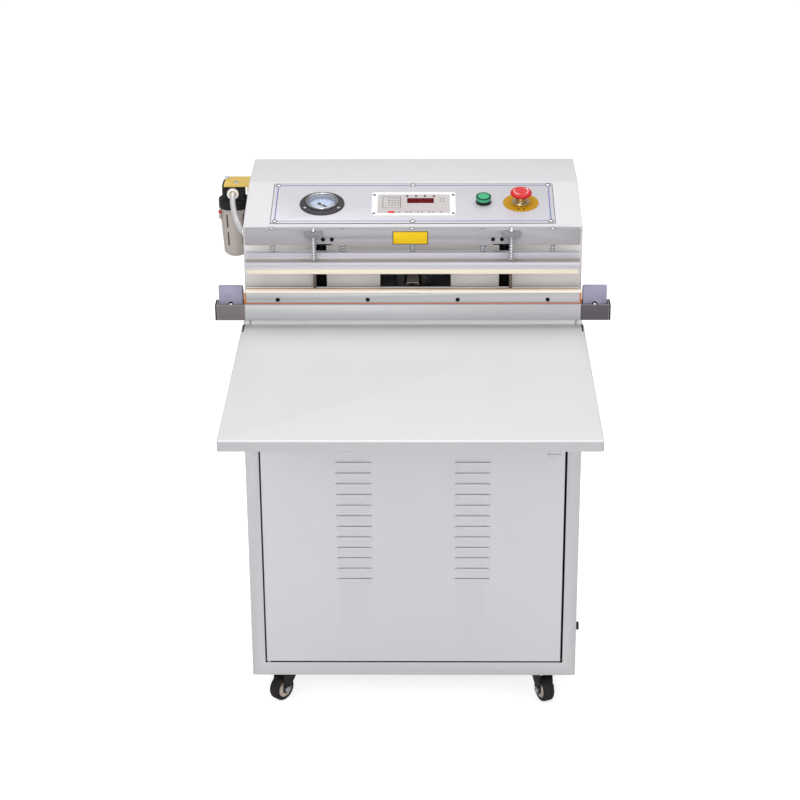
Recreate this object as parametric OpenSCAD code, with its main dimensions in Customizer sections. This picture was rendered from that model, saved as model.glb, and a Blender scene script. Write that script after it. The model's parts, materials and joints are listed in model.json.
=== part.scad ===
// External vacuum sealer on casters: a steel cabinet with a louvred door, a work table, a sprung
// sealing jaw that is pulled down on the bag, a sliding suction nozzle and a sloped control head.
// Millimetres, +Z up, +X to the operator's right, -Y towards the operator.

/* [Cabinet] */
// Width of the cabinet and of the head
cabinet_w = 620; // [616:1:621]
// Depth of the cabinet
cabinet_d = 450; // [430:5:520]
// Height of the cabinet without its casters
cabinet_h = 690; // [670:5:760]
// Thickness of the folded sheet steel
sheet_t = 1.5; // [1.2:0.1:2]
// Depth of the flange that is folded inwards round the door opening
jamb_d = 14; // [13:0.5:18]
// Width of the cable cut-out in the cabinet top
cutout_w = 120; // [60:5:160]
// Depth of the cable cut-out in the cabinet top
cutout_d = 60; // [40:5:80]

/* [Door] */
// Width of the door
door_w = 566; // [540:1:570]
// Height of the door
door_h = 500; // [480:1:520]
// Height of the door's lower edge above the cabinet bottom
door_lift = 29.5; // [20:0.5:40]
// Gap round the door
door_gap = 2.2; // [2:0.1:4]
// Thickness of the door sheet
door_t = 1.2; // [1:0.1:1.5]
// Depth of the door's folded edge
door_fold = 12; // [10:0.5:12.5]
// Distance of the pivot axis from the door's front and side faces
pivot_in = 4.5; // [4.4:0.1:4.8]
// Radius of a pivot pin
pivot_r = 2.5; // [2:0.1:2.6]

/* [Louvres] */
// Length of a louvre along its open edge
louvre_w = 67; // [50:1:80]
// Height of a louvre
louvre_h = 11; // [9:0.5:14]
// How far a louvre stands out of the door
louvre_out = 4.5; // [3:0.5:6]
// Distance from one louvre to the next
louvre_pitch = 22; // [18:0.5:24]
// Louvres in a column
louvre_rows = 14; // [6:1:16]
// Distance of a column's centre from the door's centre
louvre_x = 110.5; // [90:0.5:140]
// Distance of the top louvre from the door's upper edge
louvre_drop = 34; // [30:1:50]

/* [Casters] */
// Overall height of a caster
caster_h = 75; // [73:0.5:80]
// Radius of a wheel
wheel_r = 25; // [22:0.5:26]
// Width of a wheel
wheel_w = 22; // [18:0.5:24]
// Distance of the swivel axis from the wheel axis
caster_trail = 20; // [16:0.5:22]
// Distance of the swivel axes from the cabinet's middle
caster_x = 246; // [220:1:260]
// Distance of the swivel axes from the cabinet's front and back
caster_inset = 54; // [45:1:70]

/* [Work table] */
// Width of the table
table_w = 628; // [627:0.5:640]
// Distance that the table reaches in front of the cabinet
table_reach = 436; // [380:1:480]
// Distance that the table covers of the cabinet top
table_back = 88; // [60:1:100]
// Height of the table's folded rim
rim_h = 20; // [14:0.5:30]
// Height of the lip along the table's rear edge
lip_h = 8; // [5:0.5:12]
// Length of the support brackets under the table
bracket_len = 300; // [220:5:340]
// Height of the support brackets
bracket_h = 120; // [90:1:125]
// Distance of a support bracket from the middle
bracket_x = 230; // [180:1:270]

/* [Head] */
// Distance of the head's front from the cabinet's front
head_y = 125; // [124:1:135]
// Length of the sloped face
slope_len = 166.5; // [164:0.5:180]
// Angle of the sloped face
slope_a = 12; // [10:0.5:13]
// Height of the lip that is folded down at the head's front
head_lip_h = 8; // [6:0.5:12]

/* [Control plate] */
// Width of the control plate
plate_w = 521; // [515:1:560]
// Height of the control plate along the slope
plate_h = 146; // [140:0.5:148]
// Thickness of the control plate
plate_t = 1; // [0.8:0.1:1.5]
// Distance of the plate's lower edge from the bend
plate_lift = 11; // [8:0.5:14]
// Diameter of the gauge flange
gauge_d = 83; // [80:1:86]
// Distance of the gauge from the middle
gauge_x = -168.5; // [-180:0.5:-150]
// Distance of the gauge's middle from the bend, along the slope
gauge_up = 80; // [74:0.5:86]
// Width of the controller frame
frame_w = 155; // [150:1:160]
// Height of the controller frame
frame_h = 81.5; // [81:0.5:84]
// Distance of the controller's middle from the bend, along the slope
frame_up = 80; // [74:0.5:86]
// Diameter of the lamp
lamp_d = 28.5; // [26:0.5:32]
// Distance of the lamp from the middle
lamp_x = 131; // [125:1:140]
// Distance of the lamp's middle from the bend, along the slope
lamp_up = 86.5; // [74:0.5:90]
// Diameter of the emergency stop's head
stop_d = 40; // [36:1:44]
// Diameter of the yellow disk under the emergency stop
disk_d = 66; // [58:1:68]
// Distance of the emergency stop from the middle
stop_x = 200; // [198:1:208]
// Distance of the emergency stop's middle from the bend, along the slope
stop_up = 84; // [74:0.5:90]
// Travel of the emergency stop
stop_travel = 5; // [3:0.5:6]

/* [Lower jaw] */
// Length that the machine seals
seal_w = 600; // [590:1:604]
// Length of the square support tube
tube_len = 716; // [712:1:740]
// Side of the square support tube
tube_s = 30; // [28:0.5:32]
// Wall of the square support tube
tube_wall = 2; // [1.5:0.1:3]
// Gap between the table and the support tube
tube_lift = 18; // [16:0.5:24]
// Distance of the support tube's front from the cabinet's front
tube_y = 62; // [60:0.5:64]
// Height of the sealing bar up to the seat of its strip
bar_h = 19; // [16:0.5:22]
// Depth of the sealing bar
bar_d = 24; // [23:0.5:25]
// Thickness of the lower rubber strip
lower_strip_h = 4; // [3:0.5:5]
// Width of the lower rubber strip
lower_strip_w = 12; // [10:0.5:12.5]
// Width of a terminal cover
cover_w = 43; // [38:1:46]
// Height of a terminal cover in front
cover_h = 37; // [34:1:42]

/* [Upper jaw] */
// Opening of the jaw
jaw_gap = 34; // [28:0.5:36]
// Thickness of the upper rubber strip
upper_strip_h = 9.4; // [6:0.2:11]
// Height of the carrier's lower leg
ledge_h = 12.5; // [10:0.5:14]
// Depth of the carrier's open ledge
ledge_d = 22; // [21:0.5:22.5]
// Height of the carrier's upright leg
upright_h = 12; // [8:0.5:14]
// Thickness of the carrier's upright leg
upright_t = 12; // [11:0.5:13]
// Height of the pressure beam
beam_h = 27.7; // [25:0.1:30]
// Depth of the pressure beam
beam_d = 17; // [15.5:0.5:18]
// Wall of the pressure beam
beam_wall = 2.5; // [2:0.1:3]
// Gap between the pressure beam and the carrier
float_gap = 16; // [14:0.5:20]
// Distance between two spring bolts
bolt_pitch = 127; // [124:0.5:128]
// Radius of a spring bolt
bolt_r = 3; // [2.5:0.1:3.5]
// Distance of the long spring rods from the middle
rod_x = 178.5; // [177:0.5:182]

/* [Springs] */
// Outer diameter of a short spring
short_spring_d = 11.5; // [10.5:0.1:11.8]
// Wire of a short spring
short_wire = 1.4; // [1:0.1:1.6]
// Curls of a short spring
short_curls = 3; // [2:1:3]
// Outer diameter of a long spring
long_spring_d = 9.6; // [9:0.1:10]
// Wire of a long spring
long_wire = 1.6; // [1:0.1:1.8]
// Curls of a long spring
long_curls = 9; // [6:1:10]

/* [Nozzle] */
// Width of the nozzle's mouth
mouth_w = 23; // [18:0.5:24]
// Height of the nozzle's mouth
mouth_h = 6; // [5:0.5:7]
// Radius of the nozzle tube
nozzle_r = 6; // [5:0.1:7]

/* [Air filter] */
// Radius of the filter's collar
collar_r = 29.5; // [27:0.5:30]
// Radius of the bowl at its lower end
bowl_end_r = 22; // [18:0.5:24]
// Length of the bowl below the collar
bowl_len = 95; // [80:1:105]
// Side of the filter's head block
filter_s = 41; // [36:0.5:44]
// Outer radius of the clear hose
hose_r = 5.5; // [4.5:0.5:6]

/* [Hidden] */
$fn = 48;

// One overrun for every cut, one running clearance and one seat clearance
over = 1;
fit = 0.05;
seat = 0.3;

// Cabinet and door
bottom_t = 2;
pivot_x = -door_w / 2 + pivot_in;
pin_head_h = 3;
pin_head_r = pivot_in - sheet_t - fit;
shoulder_r = pivot_r + 1.5;
pin_reach = 3;
latch_in = 22;
latch_drop = 60;
latch_x = door_w / 2 - latch_in;
latch_r = 8;
latch_head_r = 12;
latch_head_t = 3;
latch_groove_w = 3;
latch_groove_d = 1.5;
cam_len = 32;
cam_w = 14;
cam_t = 2.5;
cam_gap = 0.5;
louvre_end_share = 0.8;
louvre_corner = 3;
cutout_y = 220;

// Table and its brackets
hem_t = 3;
tab_w = 16;
slit_w = 2;
corner_slot_len = 38;
corner_slot_in = 3;
bracket_t = 3;
bracket_flange = 25;
bracket_toe = 22;

// Head
head_w = cabinet_w;
head_back_in = 12;
slot_w = 20;
slot_h = 115;
slot_x = 168.5;
slot_rise = 5.1;
window_w = 130;
window_x = 5;
window_drop = 13;
window_h = 50;

// Controls
plate_edge_x = 7.5;
plate_edge_y = 6.5;
screw_head_r = 4;
screw_head_h = 2;
screw_r = 2;
flange_t = 3;
gauge_body_d = 62;
gauge_body_len = 25;
gauge_bezel_d = 60;
gauge_bezel_h = 9;
gauge_bezel_wall = 5;
gauge_stem_r = 5;
gauge_stem_len = 12;
gauge_wall = 2.5;
dial_t = 1;
dial_sink = 3;
needle_len = 19;
needle_tail = 7;
needle_w = 1.6;
needle_t = 0.6;
needle_gap = 0.6;
needle_hub_r = 3;
needle_pin_r = 1;
needle_a = -45;
lens_t = 1.5;
frame_t = 2.5;
frame_bar = 11;
frame_rail = 5.5;
frame_x = 1.5;
frame_corner = 5;
controller_len = 38;
keypad_drop = 1.5;
keypad_t = 2;
display_w = 49.5;
display_h = 18;
display_x = 14;
display_up = 11;
display_t = 1;
key_n = 5;
key_pitch = 21.3;
key_w = 12;
key_h = 7;
key_t = 0.8;
key_up = -31;
key_first_x = -40;
led_n = 4;
led_r = 1.4;
led_t = 0.6;
led_gap = 7.7;
lamp_base_h = 6.4;
lamp_lens_h = 4.8;
lamp_bevel = 3;
lamp_hole_r = 11;
lamp_body_len = 30;
disk_t = 1.2;
stop_hole_r = 11;
stop_collar_r = 16;
stop_collar_h = 9.5;
stop_body_len = 42;
stop_body_r = 14;
stop_stem_r = 9;
stop_neck_h = 12;
stop_head_h = 11;
stop_dome = 4;
stop_pin_r = 4;
stop_pin_h = 6;

// Jaw
insulation_t = 2;
cap_t = 2.5;
cap_in = 0.4;
standoff_w = 30;
standoff_x = 240;
bar_in = 6;
bar_over = 3.5;
bar_groove_d = 4;
bar_groove_h = 5;
bar_step_h = 3.2;
strip_rise = 0.6;
heater_w = 6;
heater_h = 3.5;
ptfe_t = 0.5;
strip_over = 7.5;
recess_w = 31;
recess_h = 1.2;
tape_t = 4;
cover_gap = 2.5;
cover_d = 26;
cover_land = 9;
cover_back_h = 28;
cover_front = 2;
cover_t = 2;
notch_r = 5;
notch_screw_r = 2.5;
bar_screw_x = 82;
bar_screw_z = 6;
guide_r = 3;
guide_in = 4;
guide_rise = 5.3;
guide_sink = 6;
upper_strip_d = 26;
upper_strip_in = 2;
strip_notch = 1;
strip_lip_h = 2;
carrier_over = 3.5;
carrier_groove_h = 4;
carrier_groove_d = 1.5;
beam_in = 18;
bolt_in = 10;
bolt_head_r = 5;
bolt_head_h = 2.6;
bolt_sink = 8;
bolt_n = 5;
bolt_hole_r = bolt_r + fit;
rod_r = 3;
rod_in = 10;
rod_block_w = 31;
rod_block_d = 16;
rod_block_h = 8.5;
rod_block_round = 2;
rod_nut_r = 5;
rod_nut_h = 4.5;
rod_tip = 5;
rod_sink = 6;
beam_plate_w = 64;
beam_plate_h = 25;
beam_plate_t = 0.8;
beam_plate_x = -3.8;
beam_plate_round = 3;
arm_plate_t = 6;
arm_plate_x = 154;
arm_plate_w = 28;
arm_plate_drop = 4;
arm_screw_gap = 16;
arm_screw_x = 145.6;
arm_screw_up = 11;
arm_screw_r = 3.4;
arm_screw_h = 2.4;
arm_w = 14;
arm_h = 14;
arm_up = -7;
arm_end = 9;
lift_in = 25;
lift_r = 20;
lift_rod_r = 6;
lift_wall = 4;
lift_cap_h = 10;
lift_h = 112;
lift_piston_h = 12;

// Nozzle
nozzle_gap = 1;
mouth_neck = 34;
nozzle_flare_len = 46;
nozzle_len = 190;
nozzle_wall = 1.2;
mouth_slit_h = 3;
guide_block_w = 60;
guide_block_in = 8;
guide_block_d = 50;
guide_cheek_w = 15;
guide_throat_d = 30;
guide_block_top = 22;
guide_foot_d = 30;

// Air filter
filter_gap = 1;
filter_y = 300;
filter_rise = 30;
filter_block_h = 29;
collar_h = 18;
collar_round = 3;
bracket_plate_t = 2.5;
bracket_plate_d = 60;
bracket_plate_out = 47;
bracket_drop = 24;
bracket_screw_r = 3;
bracket_screw_h = 2;
bowl_wall = 2.5;
bowl_slot_w = 3.5;
bowl_slot_h = 27;
bowl_slot_gap = 9;
bowl_slot_n = 5;
bowl_neck_r = 22;
bowl_neck_h = 8;
bowl_round = 6;
bowl_top_in = 1.5;
lock_w = 7;
lock_h = 18;
lock_t = 2.5;
lock_gap = 0.4;
lock_travel = 3;
lock_a = 205;
fitting_nut_r = 11;
fitting_nut_t = 7;
fitting_barb_r = 4;
fitting_barb_len = 9;
fitting_drop = 15;
port_y = 180;
port_drop = 29;
port_r = 7.5;
port_t = 6;
hose_rings = 26;
hose_sides = 10;
hose_lead = 46;
hose_tail = 34;

// Pump, transformer and gland
pump_foot_h = 12;
pump_base_w = 260;
pump_base_d = 150;
pump_base_t = 4;
pump_x = -90;
pump_y = 255;
motor_r = 62;
motor_len = 130;
motor_fin_t = 2.4;
motor_fin_h = 6;
motor_fin_n = 18;
pump_block_w = 100;
pump_block_d = 120;
pump_block_h = 130;
pump_dome_r = 28;
pump_dome_h = 30;
pump_port_r = 9;
pump_port_h = 60;
core_w = 100;
core_d = 50;
core_h = 84;
core_x = 190;
core_y = 250;
core_leg = 18;
coil_r = 22;
coil_gap = 2;
gland_r = 8;
gland_len = 12;
gland_nut_r = 10;
gland_nut_t = 4;
gland_y = 100;
gland_z = 53;
gland_bore_r = 4;

// Casters: the direction that each wheel trails in
caster_places = [["fl", -1, 0, 230], ["fr", 1, 0, 294], ["rl", -1, 1, 215], ["rr", 1, 1, 320]];
plate_side = 58;
plate_thick = 3;
race_r = 21;
race_h = 5;
fork_leg_t = 2.5;
fork_gap = 1;
fork_top_t = 4;
fork_top_r = 22;
fork_boss_r = 9;
fork_leg_top = 17;
king_r = 5;
axle_r = 4;
bolt_cap_r = 6.5;
bolt_cap_t = 3.5;
tyre_round = 5;
tyre_depth = 7;
hub_dish = 2;
hub_r = 8;

// Heights that chain up from the floor
floor_z = caster_h;
top_z = floor_z + cabinet_h;
table_t = sheet_t;
table_z = top_z + table_t;
tube_z = top_z + tube_lift;
bar_z = tube_z + tube_s + insulation_t;
seat_z = bar_z + bar_h;
lower_strip_z = seat_z + lower_strip_h;
upper_strip_z = lower_strip_z + jaw_gap;
ledge_z = upper_strip_z + upper_strip_h;
ledge_top_z = ledge_z + ledge_h;
upright_top_z = ledge_top_z + upright_h;
beam_z = upright_top_z + float_gap;
beam_top_z = beam_z + beam_h;
arm_z = beam_z + arm_up;
slot_top = arm_z + arm_h + slot_rise;
slot_low = slot_top - slot_h;
bend_z = slot_top + head_lip_h;
crease_y = head_y + slope_len * cos(slope_a);
crease_z = bend_z + slope_len * sin(slope_a);
opening_w = door_w + 2 * door_gap;
opening_z = floor_z + door_lift - door_gap;
opening_top = opening_z + door_h + 2 * door_gap;
door_z = floor_z + door_lift;
door_top = door_z + door_h;
latch_z = door_top - latch_drop;
rod_block_z = beam_top_z - rod_block_h;
piston_z = top_z + lift_h - lift_cap_h - lift_piston_h - 2 * seat;

// Depths and widths that follow the jaw
bar_y = tube_y + bar_in;
guide_y = bar_y + bar_d - guide_in;
carrier_y = tube_y;
upright_y = carrier_y + ledge_d;
beam_y = carrier_y + beam_in;
bolt_y = beam_y + bolt_in;
rod_y = carrier_y + rod_in;
lift_y = head_y + lift_in;
guide_top = ledge_z + guide_rise;
recess_r = (recess_w * recess_w / 4 + recess_h * recess_h) / (2 * recess_h);
cover_x = seal_w / 2 + bar_over + tape_t + cover_gap;
nozzle_y = upright_y + upright_t + nozzle_gap;
nozzle_z = lower_strip_z + seat;
tube_axis = nozzle_r;
guide_block_y = head_y + guide_block_in;
filter_x = -head_w / 2 - collar_r - filter_gap;
filter_top_z = bend_z + filter_rise;
filter_collar_z = filter_top_z - filter_block_h;
bowl_top_z = filter_collar_z - collar_h;
port_z = bend_z - port_drop;
inner_w = frame_w - 2 * frame_bar;
inner_h = frame_h - 2 * frame_rail;
case_w = inner_w + 2 * sheet_t;
case_h = inner_h + 2 * sheet_t;

// The origin is at the middle of the footprint, on the floor
left_x = filter_x - collar_r;
right_x = tube_len / 2 + cap_t;
shift_x = -(left_x + right_x) / 2;
shift_y = -(cabinet_d - table_reach) / 2;

// Frame and placing helpers
module placed() translate([shift_x, shift_y, 0]) children();

module block(low, high) translate(low) cube(high - low);

module mirrored() {
    children();
    mirror([1, 0, 0]) children();
}

// A profile drawn in Y and Z, drawn out along X about the middle
module along_x(length) rotate([90, 0, 90]) linear_extrude(length, center = true) children();

module rod_along_y(radius, y0, y1) translate([0, y0, 0]) rotate([-90, 0, 0])
    cylinder(r = radius, h = y1 - y0);

// A place on the sloped face: across, up along the slope, and out of it
module on_slope(x, up, out = 0) {
    translate([x, head_y, bend_z]) rotate([slope_a, 0, 0]) translate([0, up, out]) children();
}

module rounded_rect(w, h, r) {
    square([w - 2 * r, h], center = true);
    square([w, h - 2 * r], center = true);
    for (x = [-1, 1], y = [-1, 1])
        translate([x * (w / 2 - r), y * (h / 2 - r)]) circle(r);
}

// Cabinet: a welded carcass with a door opening in front
module cabinet_shell() color("gainsboro") {
    half = cabinet_w / 2;
    difference() {
        union() {
            difference() {
                block([-half, 0, floor_z], [half, cabinet_d, top_z]);
                block([-half + sheet_t, sheet_t, floor_z + bottom_t],
                    [half - sheet_t, cabinet_d - sheet_t, top_z - sheet_t]);
            }
            block([-opening_w / 2 - sheet_t, 0, opening_z - sheet_t],
                [opening_w / 2 + sheet_t, jamb_d, opening_top + sheet_t]);
        }
        block([-opening_w / 2, -over, opening_z], [opening_w / 2, jamb_d + over, opening_top]);
        block([-cutout_w / 2, cutout_y, top_z - sheet_t - over],
            [cutout_w / 2, cutout_y + cutout_d, top_z + over]);
        translate([pivot_x, pivot_in, opening_z - sheet_t - over])
            cylinder(r = pivot_r, h = sheet_t + 2 * over);
        translate([pivot_x, pivot_in, opening_top - over]) cylinder(r = pivot_r, h = sheet_t + 2 * over);
        translate([half - sheet_t - over, gland_y, floor_z + gland_z]) rotate([0, 90, 0])
            cylinder(r = gland_r, h = sheet_t + 2 * over);
    }
}

// One louvre, its open edge upwards: part of a cylinder within a tapered outline
module louvre_solid(inset) {
    r = (louvre_h * louvre_h + louvre_out * louvre_out) / (2 * louvre_out);
    w = louvre_w / 2 - inset;
    w_end = w * louvre_end_share;
    h = louvre_h - inset;
    intersection() {
        translate([0, r - louvre_out, 0]) rotate([0, 90, 0])
            cylinder(r = r - inset, h = louvre_w, center = true, $fn = 96);
        translate([0, door_t, 0]) rotate([90, 0, 0]) linear_extrude(louvre_out + door_t + over)
            polygon([[-w, 0], [w, 0], [w, -louvre_corner], [w_end, -h], [-w_end, -h], [-w, -louvre_corner]]);
    }
}

module louvre_places() {
    for (side = [-1, 1], i = [0:louvre_rows - 1])
        translate([side * louvre_x, 0, door_top - louvre_drop - i * louvre_pitch]) children();
}

module door_panel() color("silver") difference() {
    union() {
        difference() {
            block([-door_w / 2, 0, door_z], [door_w / 2, door_fold, door_top]);
            block([-door_w / 2 + door_t, door_t, door_z + door_t],
                [door_w / 2 - door_t, door_fold + over, door_top - door_t]);
        }
        louvre_places() louvre_solid(0);
    }
    louvre_places() translate([0, 0, over]) louvre_cut();
    for (z = [door_z - over, door_top - door_t - over])
        translate([pivot_x, pivot_in, z]) cylinder(r = pivot_r + fit, h = door_t + 2 * over);
    translate([latch_x, 0, latch_z]) rod_along_y(latch_r + fit, -over, door_t + over);
}

// The hollow behind one louvre, open at its upper edge
module louvre_cut() {
    translate([0, 0, -over]) louvre_solid(door_t);
    w = louvre_w / 2 - door_t;
    translate([0, 0, -over - door_t]) block([-w, door_t - louvre_out, 0], [w, door_t + over, door_t + seat]);
}

// Two pivot pins with their heads outside the door opening and a shoulder under the door
module door_pivots() color("dimgray") for (end = [0, 1]) {
    z = end == 0 ? opening_z : opening_top;
    translate([pivot_x, pivot_in, z]) mirror([0, 0, end]) {
        translate([0, 0, -sheet_t - pin_head_h]) cylinder(r = pin_head_r, h = pin_head_h);
        translate([0, 0, -sheet_t - pin_head_h])
            cylinder(r = pivot_r, h = sheet_t + pin_head_h + door_gap + pin_reach);
        cylinder(r = shoulder_r, h = door_gap);
    }
}

// Quarter-turn latch: a slotted head, a barrel and a cam that turns behind the opening's flange
module door_latch() color("silver") translate([latch_x, 0, latch_z]) {
    cam_y = jamb_d + cam_gap;
    difference() {
        union() {
            rod_along_y(latch_head_r, -latch_head_t, 0);
            rod_along_y(latch_r, -latch_head_t, cam_y + cam_t);
        }
        block([-latch_head_r, -latch_head_t - over, -latch_groove_w / 2],
            [latch_head_r, -latch_head_t + latch_groove_d, latch_groove_w / 2]);
    }
    translate([0, cam_y + cam_t, 0]) rotate([90, 0, 0]) linear_extrude(cam_t) {
        translate([-cam_w / 2, 0]) square([cam_w, cam_len - cam_w / 2]);
        translate([0, cam_len - cam_w / 2]) circle(cam_w / 2);
        circle(latch_r);
    }
}

// Table: a folded tray, open below, with a lip along its rear edge
module work_table() color("whitesmoke") {
    half = table_w / 2;
    difference() {
        block([-half, -table_reach, table_z - rim_h], [half, table_back, table_z]);
        block([-half + table_t, -table_reach + table_t, table_z - rim_h - over],
            [half - table_t, table_back + over, table_z - table_t]);
        mirrored() block([half - corner_slot_in - slit_w, table_back - hem_t - corner_slot_len,
            table_z - table_t - over],
            [half - corner_slot_in, table_back - hem_t, table_z + over]);
    }
    difference() {
        translate([0, table_back - hem_t / 2, 0]) along_x(table_w - 2 * corner_slot_in) lip_profile();
        mirrored() block([half - tab_w - slit_w, table_back - hem_t - over, table_z],
            [half - tab_w, table_back + over, table_z + lip_h + over]);
    }
}

module lip_profile() {
    translate([-hem_t / 2, table_z - table_t]) square([hem_t, table_t + lip_h - hem_t / 2]);
    translate([0, table_z + lip_h - hem_t / 2]) circle(hem_t / 2);
}

// Two gusset brackets that carry the table from the cabinet's front
module table_brackets() color("silver") mirrored() translate([bracket_x, 0, top_z]) {
    rotate([90, 0, 90]) linear_extrude(bracket_t, center = true)
        polygon([[0, 0], [-bracket_len, 0], [-bracket_len, -bracket_toe], [-bracket_toe, -bracket_h],
            [0, -bracket_h]]);
    block([-bracket_flange / 2, -bracket_len, -bracket_t], [bracket_flange / 2, 0, 0]);
    block([-bracket_flange / 2, -bracket_t, -bracket_h], [bracket_flange / 2, 0, 0]);
}

// Head cover: one folded sheet with a sloped face, closed at the sides and back, open in front
module head_profile(inset) {
    low = inset > 0 ? -over : 0;
    front = inset > 0 ? head_y - over : head_y;
    back = cabinet_d - head_back_in - inset;
    bend = bend_z - inset / cos(slope_a) - (head_y - front) * tan(slope_a);
    polygon([[front, top_z + low], [back, top_z + low], [back, crease_z - inset],
        [crease_y + inset * tan(slope_a / 2), crease_z - inset], [front, bend]]);
}

module head_cover() color("whitesmoke") {
    difference() {
        along_x(head_w) head_profile(0);
        along_x(head_w - 2 * sheet_t) head_profile(sheet_t);
        control_holes(-sheet_t - over, over);
        translate([-head_w / 2 - over, port_y, port_z]) rotate([0, 90, 0])
            cylinder(r = hose_r, h = sheet_t + 2 * over);
    }
    block([-head_w / 2, head_y, bend_z - head_lip_h], [head_w / 2, head_y + sheet_t, bend_z - sheet_t / 2]);
}

// Everything that is cut through the sloped sheet and the control plate
module control_holes(low, high) {
    on_slope(gauge_x, gauge_up, low) cylinder(d = gauge_body_d, h = high - low);
    on_slope(frame_x, frame_up, low) translate([0, 0, (high - low) / 2])
        cube([case_w, case_h, high - low], center = true);
    on_slope(lamp_x, lamp_up, low) cylinder(r = lamp_hole_r, h = high - low);
    on_slope(stop_x, stop_up, low) cylinder(r = stop_hole_r, h = high - low);
}

// Upright panel behind the jaw, with a slot for each drive arm and a window for the nozzle
module head_front_panel() color("lightgray") difference() {
    block([-head_w / 2 + sheet_t, head_y + sheet_t, top_z],
        [head_w / 2 - sheet_t, head_y + 2 * sheet_t, bend_z - sheet_t / cos(slope_a)]);
    mirrored() block([slot_x - slot_w / 2, head_y - over, slot_low],
        [slot_x + slot_w / 2, head_y + 2 * sheet_t + over, slot_top]);
    block([window_x - window_w / 2, head_y - over, seat_z - window_drop],
        [window_x + window_w / 2, head_y + 2 * sheet_t + over, seat_z - window_drop + window_h]);
}

module control_plate() color("lavender") difference() {
    on_slope(0, plate_lift + plate_h / 2) translate([0, 0, plate_t / 2])
        cube([plate_w, plate_h, plate_t], center = true);
    control_holes(-over, plate_t + over);
}

module pan_screw(r = screw_head_r) {
    dome_r = (r * r + screw_head_h * screw_head_h) / (2 * screw_head_h);
    rotate_extrude() intersection() {
        square([r, screw_head_h]);
        translate([0, screw_head_h - dome_r]) circle(dome_r);
    }
}

// The screws of the control plate, the sealing bar and the terminal covers
module machine_screws() color("slategray") {
    for (x = [-plate_w / 2 + plate_edge_x, 0, plate_w / 2 - plate_edge_x],
        up = [plate_lift + plate_edge_y, plate_lift + plate_h - plate_edge_y])
        on_slope(x, up, plate_t) pan_screw();
    for (x = [-3, -1, 1, 3])
        translate([x * bar_screw_x, bar_y, bar_z + bar_screw_z]) rotate([90, 0, 0]) pan_screw();
    mirrored() translate([cover_x + cover_w / 2, bar_y - cover_front, tube_z + tube_s])
        pan_screw(notch_screw_r);
}

// Vacuum gauge: flange and case, dial, needle and lens
module gauge_case() color("darkslategray") on_slope(gauge_x, gauge_up, plate_t) {
    rotate_extrude() {
        translate([gauge_body_d / 2 - gauge_wall, -gauge_body_len])
            square([gauge_wall, gauge_body_len + flange_t]);
        translate([0, -gauge_body_len]) square([gauge_body_d / 2, gauge_wall]);
        translate([gauge_bezel_d / 2 - gauge_bezel_wall, 0])
            square([(gauge_d - gauge_bezel_d) / 2 + gauge_bezel_wall, flange_t]);
        translate([gauge_bezel_d / 2 - gauge_bezel_wall, 0]) square([gauge_bezel_wall, gauge_bezel_h]);
        translate([0, -gauge_body_len - gauge_stem_len]) square([gauge_stem_r, gauge_stem_len + over]);
    }
    for (a = [90, 210, 330]) rotate(a) translate([(gauge_d + gauge_bezel_d) / 4, 0, flange_t]) pan_screw();
}

module gauge_dial() color("azure") on_slope(gauge_x, gauge_up, plate_t - dial_sink) difference() {
    cylinder(d = gauge_body_d - 2 * gauge_wall, h = dial_t);
    translate([0, 0, -over]) cylinder(r = needle_pin_r + fit, h = dial_t + 2 * over);
}

module gauge_needle() color("black") on_slope(gauge_x, gauge_up, plate_t - dial_sink + dial_t)
    rotate(needle_a) {
    translate([0, 0, needle_gap]) linear_extrude(needle_t)
        polygon([[-needle_tail, -needle_w], [-needle_tail, needle_w], [needle_len, 0]]);
    translate([0, 0, needle_gap]) cylinder(r = needle_hub_r, h = 2 * needle_t);
    translate([0, 0, -dial_t - needle_gap])
        cylinder(r = needle_pin_r, h = dial_t + 2 * needle_gap + needle_t);
}

module gauge_lens() color("lightcyan", 0.3)
    on_slope(gauge_x, gauge_up, plate_t + gauge_bezel_h - lens_t - seat)
        cylinder(d = gauge_bezel_d - 2 * gauge_bezel_wall, h = lens_t);

// Controller: a raised frame on a case, a sunk keypad with domes, and a display window
module controller_frame() color("white") on_slope(frame_x, frame_up, plate_t) {
    linear_extrude(frame_t) difference() {
        rounded_rect(frame_w, frame_h, frame_corner);
        square([inner_w, inner_h], center = true);
    }
    difference() {
        block([-case_w / 2, -case_h / 2, -controller_len], [case_w / 2, case_h / 2, 0]);
        block([-inner_w / 2, -inner_h / 2, -controller_len + sheet_t], [inner_w / 2, inner_h / 2, over]);
    }
    for (x = [-1, 1], y = [-1, 1])
        translate([x * (frame_w - frame_bar) / 2, y * (frame_h / 2 - frame_rail), frame_t]) pan_screw();
}

module controller_keypad() color("silver")
    on_slope(frame_x, frame_up, plate_t + frame_t - keypad_drop) {
    difference() {
        translate([0, 0, -keypad_t / 2]) cube([inner_w, inner_h, keypad_t], center = true);
        translate([display_x - frame_x, display_up, 0])
            cube([display_w, display_h, 2 * display_t], center = true);
    }
    for (i = [0:key_n - 1]) translate([key_first_x + i * key_pitch - frame_x, key_up, 0])
        linear_extrude(key_t) rounded_rect(key_w, key_h, key_h / 3);
    for (i = [0:led_n - 1])
        translate([display_x - frame_x + (i / (led_n - 1) - 1 / 2) * display_w,
            display_up + display_h / 2 + led_gap, 0])
            cylinder(r = led_r, h = led_t);
}

module controller_display() color("darkred")
    on_slope(display_x, frame_up + display_up, plate_t + frame_t - keypad_drop - display_t)
        linear_extrude(display_t) square([display_w, display_h], center = true);

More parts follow.
